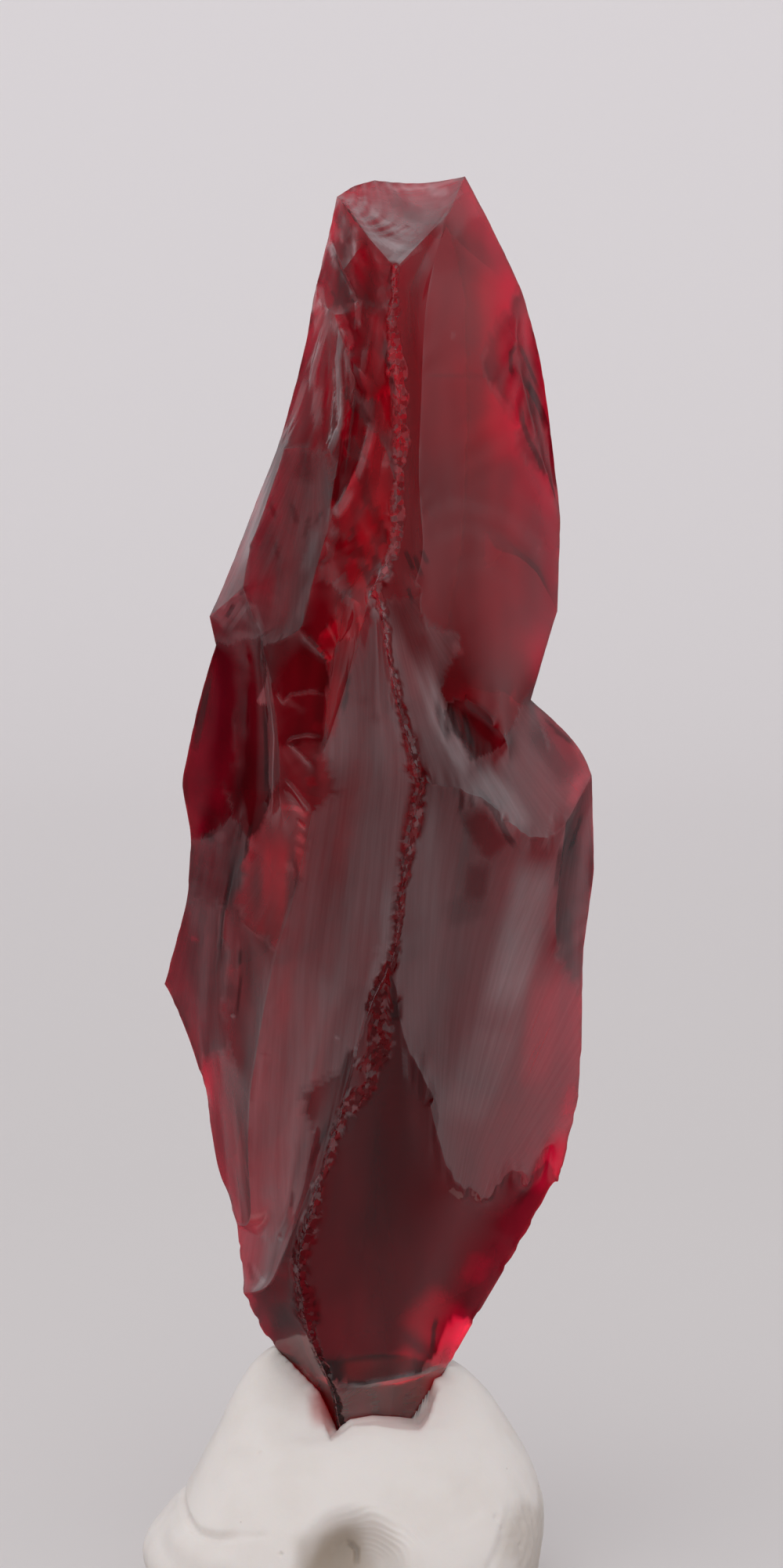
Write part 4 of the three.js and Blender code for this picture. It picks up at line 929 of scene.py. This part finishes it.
feed(shader.inputs["Base Color"], colours.outputs["Color"])
data.materials.append(glass_powder)
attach(crystal, "root")
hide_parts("crystal")

# The stand. A lump of soft white mounting putty, squeezed by hand round the foot of the shard, which
# sticks in it. It keeps the hollow of a thumb, the fold of a pressed lobe at its left, and the fine
# ridges of skin. Its lip leans on the glass. In the lip line, a row is (x, height of the lip).
PUTTY_GRID = 0.4
SMOOTHINGS = 3
GLASS_CLING = 0.04
CLING_REACH = 4.2
HOLLOW = namedtuple("Hollow", "x z wide high deep")(-1.0, 3.6, 3.3, 3.6, 3.4)
# Where painted red light, as thrown by the glass, lies on the putty near the tip.
RED_LIGHT_SPOT = namedtuple("RedLightSpot", "x z wide high")(-2.8, 12.6, 0.9, 1.6)
RIDGE_GAP = 0.46
RIDGE_HEIGHT = 0.032
RIDGED = (4.6, 9.5)
LIP_LINE = (
    (-6, 18), (-4.65, 15.2), (-3.25, 12.6), (-2.4, 10.8), (-1.7, 11.2), (-1, 11.7),
    (0.5, 11.75), (2.2, 11.35), (3.3, 11), (3.9, 11.8), (5.1, 15.1), (6.5, 19),
)
Groove = namedtuple("Groove", "points width depth")
GROOVES = {
    "lobe fold": Groove([(-12.6, 7.2), (-11.6, 6.3), (-10.8, 5.7), (-9.6, 5.6), (-7.8, 5.9)], 0.4, 0.35),
    "lobe fold end": Groove([(-7.8, 5.9), (-6.2, 6)], 0.25, 0.1),
    "lobe swell": Groove([(-12.8, 5.6), (-11.6, 4.6), (-9.8, 4.3), (-8, 4.6)], 1.4, -0.3),
    "hollow crease": Groove([(-1.3, 5.2), (-0.7, 4.6), (-0.7, 3.6)], 0.28, 0.35),
    "palm line": Groove([(9, 7), (8.4, 5.2), (7.4, 3.2), (6.8, 1.6)], 0.5, 0.16),
    "finger dent": Groove([(5.6, 8.6), (6.8, 6.6)], 1.6, 0.12),
    "left dent": Groove([(-8.4, 10.6), (-7.4, 8.2)], 1.5, 0.14),
}
PIT_DEPTH = 0.12
PITS = (
    (8.1, 6.6, 0.16), (8.5, 5.9, 0.12), (-6.9, 10.4, 0.1),
    (-5.4, 5, 0.12), (9.7, 4.6, 0.14), (-9.1, 3.2, 0.1),
)

putty = new_piece(merged_copy("putty_stand"), "putty_fine")
kneading = putty.modifiers.new("kneading", "REMESH")
kneading.mode = "VOXEL"
kneading.voxel_size = PUTTY_GRID * MM
kneaded = hardened(putty)
lump = opened(kneaded)
for _ in range(SMOOTHINGS):
    bmesh.ops.smooth_vert(
        lump, verts=lump.verts, factor=0.5, use_axis_x=True, use_axis_y=True, use_axis_z=True
    )
bmesh.ops.subdivide_edges(lump, edges=lump.edges, cuts=1, use_grid_fill=True, smooth=0.6)
ridged = set()
for face in lump.faces:
    x, y, z = face.calc_center_median() / MM
    if y < 0 and abs(x - HOLLOW.x) < RIDGED[0] and z < RIDGED[1]:
        ridged.update(face.edges)
bmesh.ops.subdivide_edges(lump, edges=list(ridged), cuts=1, use_grid_fill=True)
put_back(lump, kneaded)
glass_skin = BVHTree.FromPolygons(
    [vertex.co / MM for vertex in data.vertices], [tuple(face.vertices) for face in data.polygons]
)
points = read(kneaded.vertices, "co", 3) / MM
normals = read(kneaded.vertices, "normal", 3)

# The hollow, with the print of skin above its middle.
PRINT_LOW = 0.3
PRINT_REACH = 4.9
across = points[:, 0] - HOLLOW.x
above = points[:, 2] - HOLLOW.z
fronted = np.clip(-normals[:, 1], 0, 1) * (points[:, 1] < 0)
sunk = smooth(1.25 - np.hypot(across / HOLLOW.wide, above / HOLLOW.high)) * smooth(fronted * 3)
round_hollow = np.hypot(across - 1.1, above)
ridges = np.sin(2 * np.pi * (round_hollow / RIDGE_GAP + 1.1 * noise_at(points / 1.9)))
printed = smooth((above - PRINT_LOW) / 1.2) * smooth((PRINT_REACH - round_hollow) / 1.6)
printed *= smooth(fronted * 3)
printed *= smooth(1 + across / 3) * smooth(0.9 + 1.2 * noise_at(points / 2.4 + 4))
push = RIDGE_HEIGHT * ridges * printed

# Folds, dents, pits, soft bumps, and a side that was pressed on something rough.
PUTTY_BUMPS = ((0.1, 3.2, 0), (0.035, 1.1, 7))
ROUGH_SIDE = (7.6, 8.2)
ROUGH_HEIGHT = 0.09
ROUGH_SIZE = 0.5
for groove in GROOVES.values():
    gap, along = gaps_to_line(points[:, ::2], groove.points)
    push -= groove.depth * smooth(1 - gap / groove.width) * tapered(along, 0.25) * (points[:, 1] < 2)
for x, z, radius in PITS:
    gap = np.hypot(points[:, 0] - x, points[:, 2] - z)
    push -= PIT_DEPTH * smooth(1.4 - gap / radius) * (points[:, 1] < 0)
for height, size, apart in PUTTY_BUMPS:
    push += height * noise_at(points / size + apart)
uneven = 0.8 * noise_at(points / 2.3 + 11)
rough = smooth((points[:, 0] - ROUGH_SIDE[0]) / 1.6 + uneven)
rough *= smooth((ROUGH_SIDE[1] - points[:, 2]) / 2.5 + uneven) * smooth((2 - points[:, 1]) / 5 + uneven)
push += ROUGH_HEIGHT * rough * noise_at(points / ROUGH_SIZE + 3)
points += normals * push[:, None]
points[:, 1] += HOLLOW.deep * sunk

# The lip is drawn down to its line in front and pulled on to the glass, and the painted red light that
# the glass throws on the putty near its tip is placed.
lip_across, lip_up = zip(*LIP_LINE)
stain = np.zeros(len(points))
for index, place in enumerate(points):
    near, _, _, gap = glass_skin.find_nearest(Vector(place), CLING_REACH)
    if near is None:
        continue
    from_red_light = math.hypot((place[0] - RED_LIGHT_SPOT.x) / RED_LIGHT_SPOT.wide, (place[2] - RED_LIGHT_SPOT.z) / RED_LIGHT_SPOT.high)
    stain[index] = smooth(1.6 - gap / 1.6) * smooth(1.5 - from_red_light)
    if place[1] < -0.5:
        lip = np.interp(place[0], lip_across, lip_up) + 0.1 * gap
        lower = 0.95 * max(0, place[2] - lip) * smooth((CLING_REACH - gap) / 2)
        place = place - (0, 0, lower)
        points[index] = place
        near, _, _, gap = glass_skin.find_nearest(Vector(place), 2 * CLING_REACH)
    pull = (1 - GLASS_CLING / max(gap, GLASS_CLING)) * smooth((1 - gap) / 0.5)
    points[index] += pull * (np.array(near) - place)
points = np.clip(points, np.array(cad_low) / MM, np.array(cad_high) / MM)
kneaded.vertices.foreach_set("co", (points * MM).ravel())
# Painted shade in the thumb hollow, darkest to the left of its middle; the rough side is darker too.
grime = np.hypot((points[:, 0] - HOLLOW.x + 1.1) / 2.6, (points[:, 2] - HOLLOW.z) / 2.8)
grime = 0.8 * smooth(1.3 - grime + 0.35 * noise_at(points / 1.7)) * (fronted > 0)
write_values(kneaded, stain=stain, grime=np.maximum(grime, 0.4 * rough))
for face in kneaded.polygons:
    face.use_smooth = True
kneaded.update()

# The putty itself: off-white, a little see-through at the surface, with dust in it. Painted shade darkens
# its thumb hollow, its rough side is darker, and painted red light from the glass lies on it near the tip.
PUTTY_COLOUR = (0.85, 0.80, 0.75, 1)
PUTTY_SHADE = (0.82, 0.765, 0.71, 1)
PUTTY_SPECK = (0.3, 0.26, 0.22, 1)
PUTTY_SHADE_AND_DARK_SIDE = (0.37, 0.29, 0.21, 1)
PUTTY_RED_LIGHT = (0.5, 0.13, 0.12, 1)
PUTTY_ROUGHNESS = 0.55
PUTTY_SCATTER = (1, 0.7, 0.5)
SHADE_SCALE = 260
SPECK_SCALE = 420
RED_LIGHT_SCALE = 300
GRAIN_SCALE = 4500
GRAIN_HEIGHT = 0.06
clay, tree, shader = new_material("white_putty")
shader.inputs["Roughness"].default_value = PUTTY_ROUGHNESS
shader.inputs["Subsurface Weight"].default_value = 0.2
shader.inputs["Subsurface Radius"].default_value = PUTTY_SCATTER
shader.inputs["Subsurface Scale"].default_value = MM
place = add(tree, "TexCoord").outputs["Object"]


def grains(scale, detail):
    """Soft grain all over the putty."""
    return add(tree, "TexNoise", {"Vector": place, "Scale": scale, "Detail": detail}).outputs["Fac"]


specks = add(tree, "TexVoronoi", {"Vector": place, "Scale": SPECK_SCALE}).outputs["Distance"]
colour = blend(tree, fitted(tree, grains(SHADE_SCALE, 4), 0.4, 0.7), PUTTY_COLOUR, PUTTY_SHADE)
colour = blend(tree, fitted(tree, specks, 0.05, 0.02, 0, 0.5), colour, PUTTY_SPECK)
# Painted shade in the hollow, and a darker rough side.
colour = blend(tree, value_of(tree, "grime"), colour, PUTTY_SHADE_AND_DARK_SIDE)
# Painted red light from the glass, in soft patches near the tip.
red_lit = fitted(tree, grains(RED_LIGHT_SCALE, 2), 0.3, 0.6, 0, 0.85)
red_lit = worked(tree, "MULTIPLY", value_of(tree, "stain"), red_lit)
feed(shader.inputs["Base Color"], blend(tree, red_lit, colour, PUTTY_RED_LIGHT))
fine = grains(GRAIN_SCALE, 3)
bump = add(tree, "Bump", {"Strength": 0.25, "Distance": GRAIN_HEIGHT * MM, "Height": fine})
feed(shader.inputs["Normal"], bump.outputs["Normal"])
kneaded.materials.clear()
kneaded.materials.append(clay)
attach(putty, "root")
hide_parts("putty_stand")

# The studio. A pale seamless paper sweep under and behind the piece: flat, bent up in a quarter round,
# and upright behind. It is wide enough to fill the view, and is left out of the glass. Its colour is
# painted darker towards the front and lighter up the back, as painted shade and light. Sizes in metres.
SWEEP_FRONT = -1.2
BEND_START = 0.55
BEND_RADIUS = 0.35
BEND_STEPS = 16
SWEEP_TOP = 1.6
SWEEP_HALF = 1.5
PAPER_SHADED = (0.70, 0.675, 0.66, 1)
PAPER_LIT = (0.93, 0.90, 0.895, 1)
PAPER_ROUGHNESS = 0.9
PAPER_FALLOFF = (0.15, 1.1)
profile = [(SWEEP_FRONT, 0)]
for step in range(BEND_STEPS + 1):
    turn = math.pi / 2 * step / BEND_STEPS
    profile.append((BEND_START + BEND_RADIUS * math.sin(turn), BEND_RADIUS * (1 - math.cos(turn))))
profile.append((BEND_START + BEND_RADIUS, SWEEP_TOP))
sheet = bmesh.new()
rows = [[sheet.verts.new((x, y, z)) for x in (-SWEEP_HALF, SWEEP_HALF)] for y, z in profile]
for low, high in zip(rows, rows[1:]):
    sheet.faces.new((low[0], low[1], high[1], high[0])).smooth = True
sweep = new_piece(sheet, "sweep")
paper, tree, shader = new_material("paper")
# Painted shade and light on the paper: darker near the front, lighter far up the back.
where = add(tree, "SeparateXYZ", {"Vector": add(tree, "TexCoord").outputs["Object"]})
reach = worked(tree, "ADD", where.outputs["Y"], where.outputs["Z"])
far = fitted(tree, reach, *PAPER_FALLOFF, way="LINEAR")
feed(shader.inputs["Base Color"], blend(tree, far, PAPER_SHADED, PAPER_LIT))
shader.inputs["Roughness"].default_value = PAPER_ROUGHNESS
shader.inputs["Specular IOR Level"].default_value = 0
sweep.data.materials.append(paper)
sweep.visible_glossy = False
sweep.visible_transmission = False
sweep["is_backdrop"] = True

# The light. A soft room: wide glows stand in for windows and white walls, and a softbox lights the putty
# and the paper. A glow is (azimuth, elevation, tightness, strength), with azimuth 0 behind the shard. The
# room is plainer where it is seen through the glass, and even where it lights soft surfaces.
GLOWS = {
    "above_behind": (0, 70, 5, 1.9),
    "left": (-75, 14, 12, 0.22),
    "left_edge": (-45, 13, 90, 1.8),
    "left_low": (-116, -17, 26, 0.9),
    "left_floor": (-66, -15, 26, 0.8),
    "front_left_low": (-150, -36, 6, 0.5),
    "right": (82, 15, 14, 0.95),
    "right_low": (95, -18, 14, 1.05),
    "right_bottom": (90, -52, 10, 0.5),
    "right_floor_shade": (86, -31, 40, -1.15),
    "front_right_low": (140, -20, 20, 0.4),
    "behind_shade": (0, 0, 6, -0.2),
    "front_left_shade": (-142, 4, 18, -0.4),
    "front_right_shade": (130, 0, 18, -0.4),
}
ROOM = 0.2
ROOM_SHARE = 0.55
ROOM_LEAST = 0.03
THROUGH_HIGH = 1.91
THROUGH_LOW = 0.57
FILL = 0.72
BACKDROP = 0.62
ROOM_COLOUR = (0.97, 0.955, 1.0, 1)
ROOM_RISE = (-0.5, 0.3)
SOFTBOX_SIZE = 0.7
SOFTBOX_POWER = 1.95
SOFTBOX_PLACE = Vector((-0.12, -0.4, 0.8))
SOFTBOX_AIM = Vector((0, 0.1, 0))
studio = bpy.data.worlds.new("studio")
bpy.context.scene.world = studio
studio.use_nodes = True
tree = studio.node_tree
way = add(tree, "TexCoord").outputs["Generated"]
room = ROOM
for azimuth, elevation, tightness, strength in GLOWS.values():
    a = math.radians(azimuth)
    e = math.radians(elevation)
    towards = (math.sin(a) * math.cos(e), math.cos(a) * math.cos(e), math.sin(e))
    near = add(tree, "VectorMath", {0: way, 1: towards}, operation="DOT_PRODUCT").outputs["Value"]
    away = worked(tree, "MULTIPLY", worked(tree, "SUBTRACT", near, 1), tightness)
    glow = worked(tree, "MULTIPLY", worked(tree, "POWER", math.e, away), strength)
    room = worked(tree, "ADD", glow, room)
room = worked(tree, "MAXIMUM", worked(tree, "MULTIPLY", room, ROOM_SHARE), ROOM_LEAST)


def choose(switch, one, two):
    """A number between two numbers."""
    return add(tree, "Mix", {"Factor": switch, "A": one, "B": two}).outputs["Result"]


height = add(tree, "SeparateXYZ", {"Vector": way}).outputs["Z"]
through = choose(fitted(tree, height, *ROOM_RISE), THROUGH_LOW, THROUGH_HIGH)
path = add(tree, "LightPath")
seen = choose(path.outputs["Is Diffuse Ray"], room, FILL)
seen = choose(path.outputs["Is Transmission Ray"], seen, through)
seen = choose(path.outputs["Is Camera Ray"], seen, BACKDROP)
background = tree.nodes["Background"]
background.inputs["Color"].default_value = ROOM_COLOUR
feed(background.inputs["Strength"], seen)
softbox_data = bpy.data.lights.new("softbox", "AREA")
softbox_data.shape = "RECTANGLE"
softbox_data.size = SOFTBOX_SIZE
softbox_data.size_y = SOFTBOX_SIZE
softbox_data.energy = SOFTBOX_POWER
softbox = bpy.data.objects.new("softbox", softbox_data)
softbox.location = SOFTBOX_PLACE
softbox.rotation_euler = (SOFTBOX_AIM - SOFTBOX_PLACE).to_track_quat("-Z", "Y").to_euler()
softbox.visible_camera = False
softbox.visible_glossy = False
softbox.visible_transmission = False
bpy.context.collection.objects.link(softbox)

# The camera. A short telephoto lens looks at the front of the shard from a little above its middle. Light
# may bounce often, because a ray crosses many faces of the glass.
VIEW_DISTANCE = 280 * MM
VIEW_HEIGHT = 100.15 * MM
VIEW_MIDDLE = Vector((1.5, 0, 52.45)) * MM
VIEW_DROP = math.radians(5)
SENSOR_HEIGHT = 36
NEAREST = 10 * MM
camera_data = bpy.data.cameras.new("camera")
camera_data.sensor_fit = "VERTICAL"
camera_data.sensor_height = SENSOR_HEIGHT
camera_data.lens = SENSOR_HEIGHT * VIEW_DISTANCE / VIEW_HEIGHT
camera_data.clip_start = NEAREST
camera = bpy.data.objects.new("camera", camera_data)
camera.location = VIEW_MIDDLE + VIEW_DISTANCE * Vector((0, -math.cos(VIEW_DROP), math.sin(VIEW_DROP)))
camera.rotation_euler = (math.pi / 2 - VIEW_DROP, 0, 0)
bpy.context.collection.objects.link(camera)
bpy.context.scene.camera = camera
bpy.context.scene.view_settings.view_transform = "Standard"
bpy.context.scene.cycles.max_bounces = 24
bpy.context.scene.cycles.glossy_bounces = 16
bpy.context.scene.cycles.transmission_bounces = 16

low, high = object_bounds()
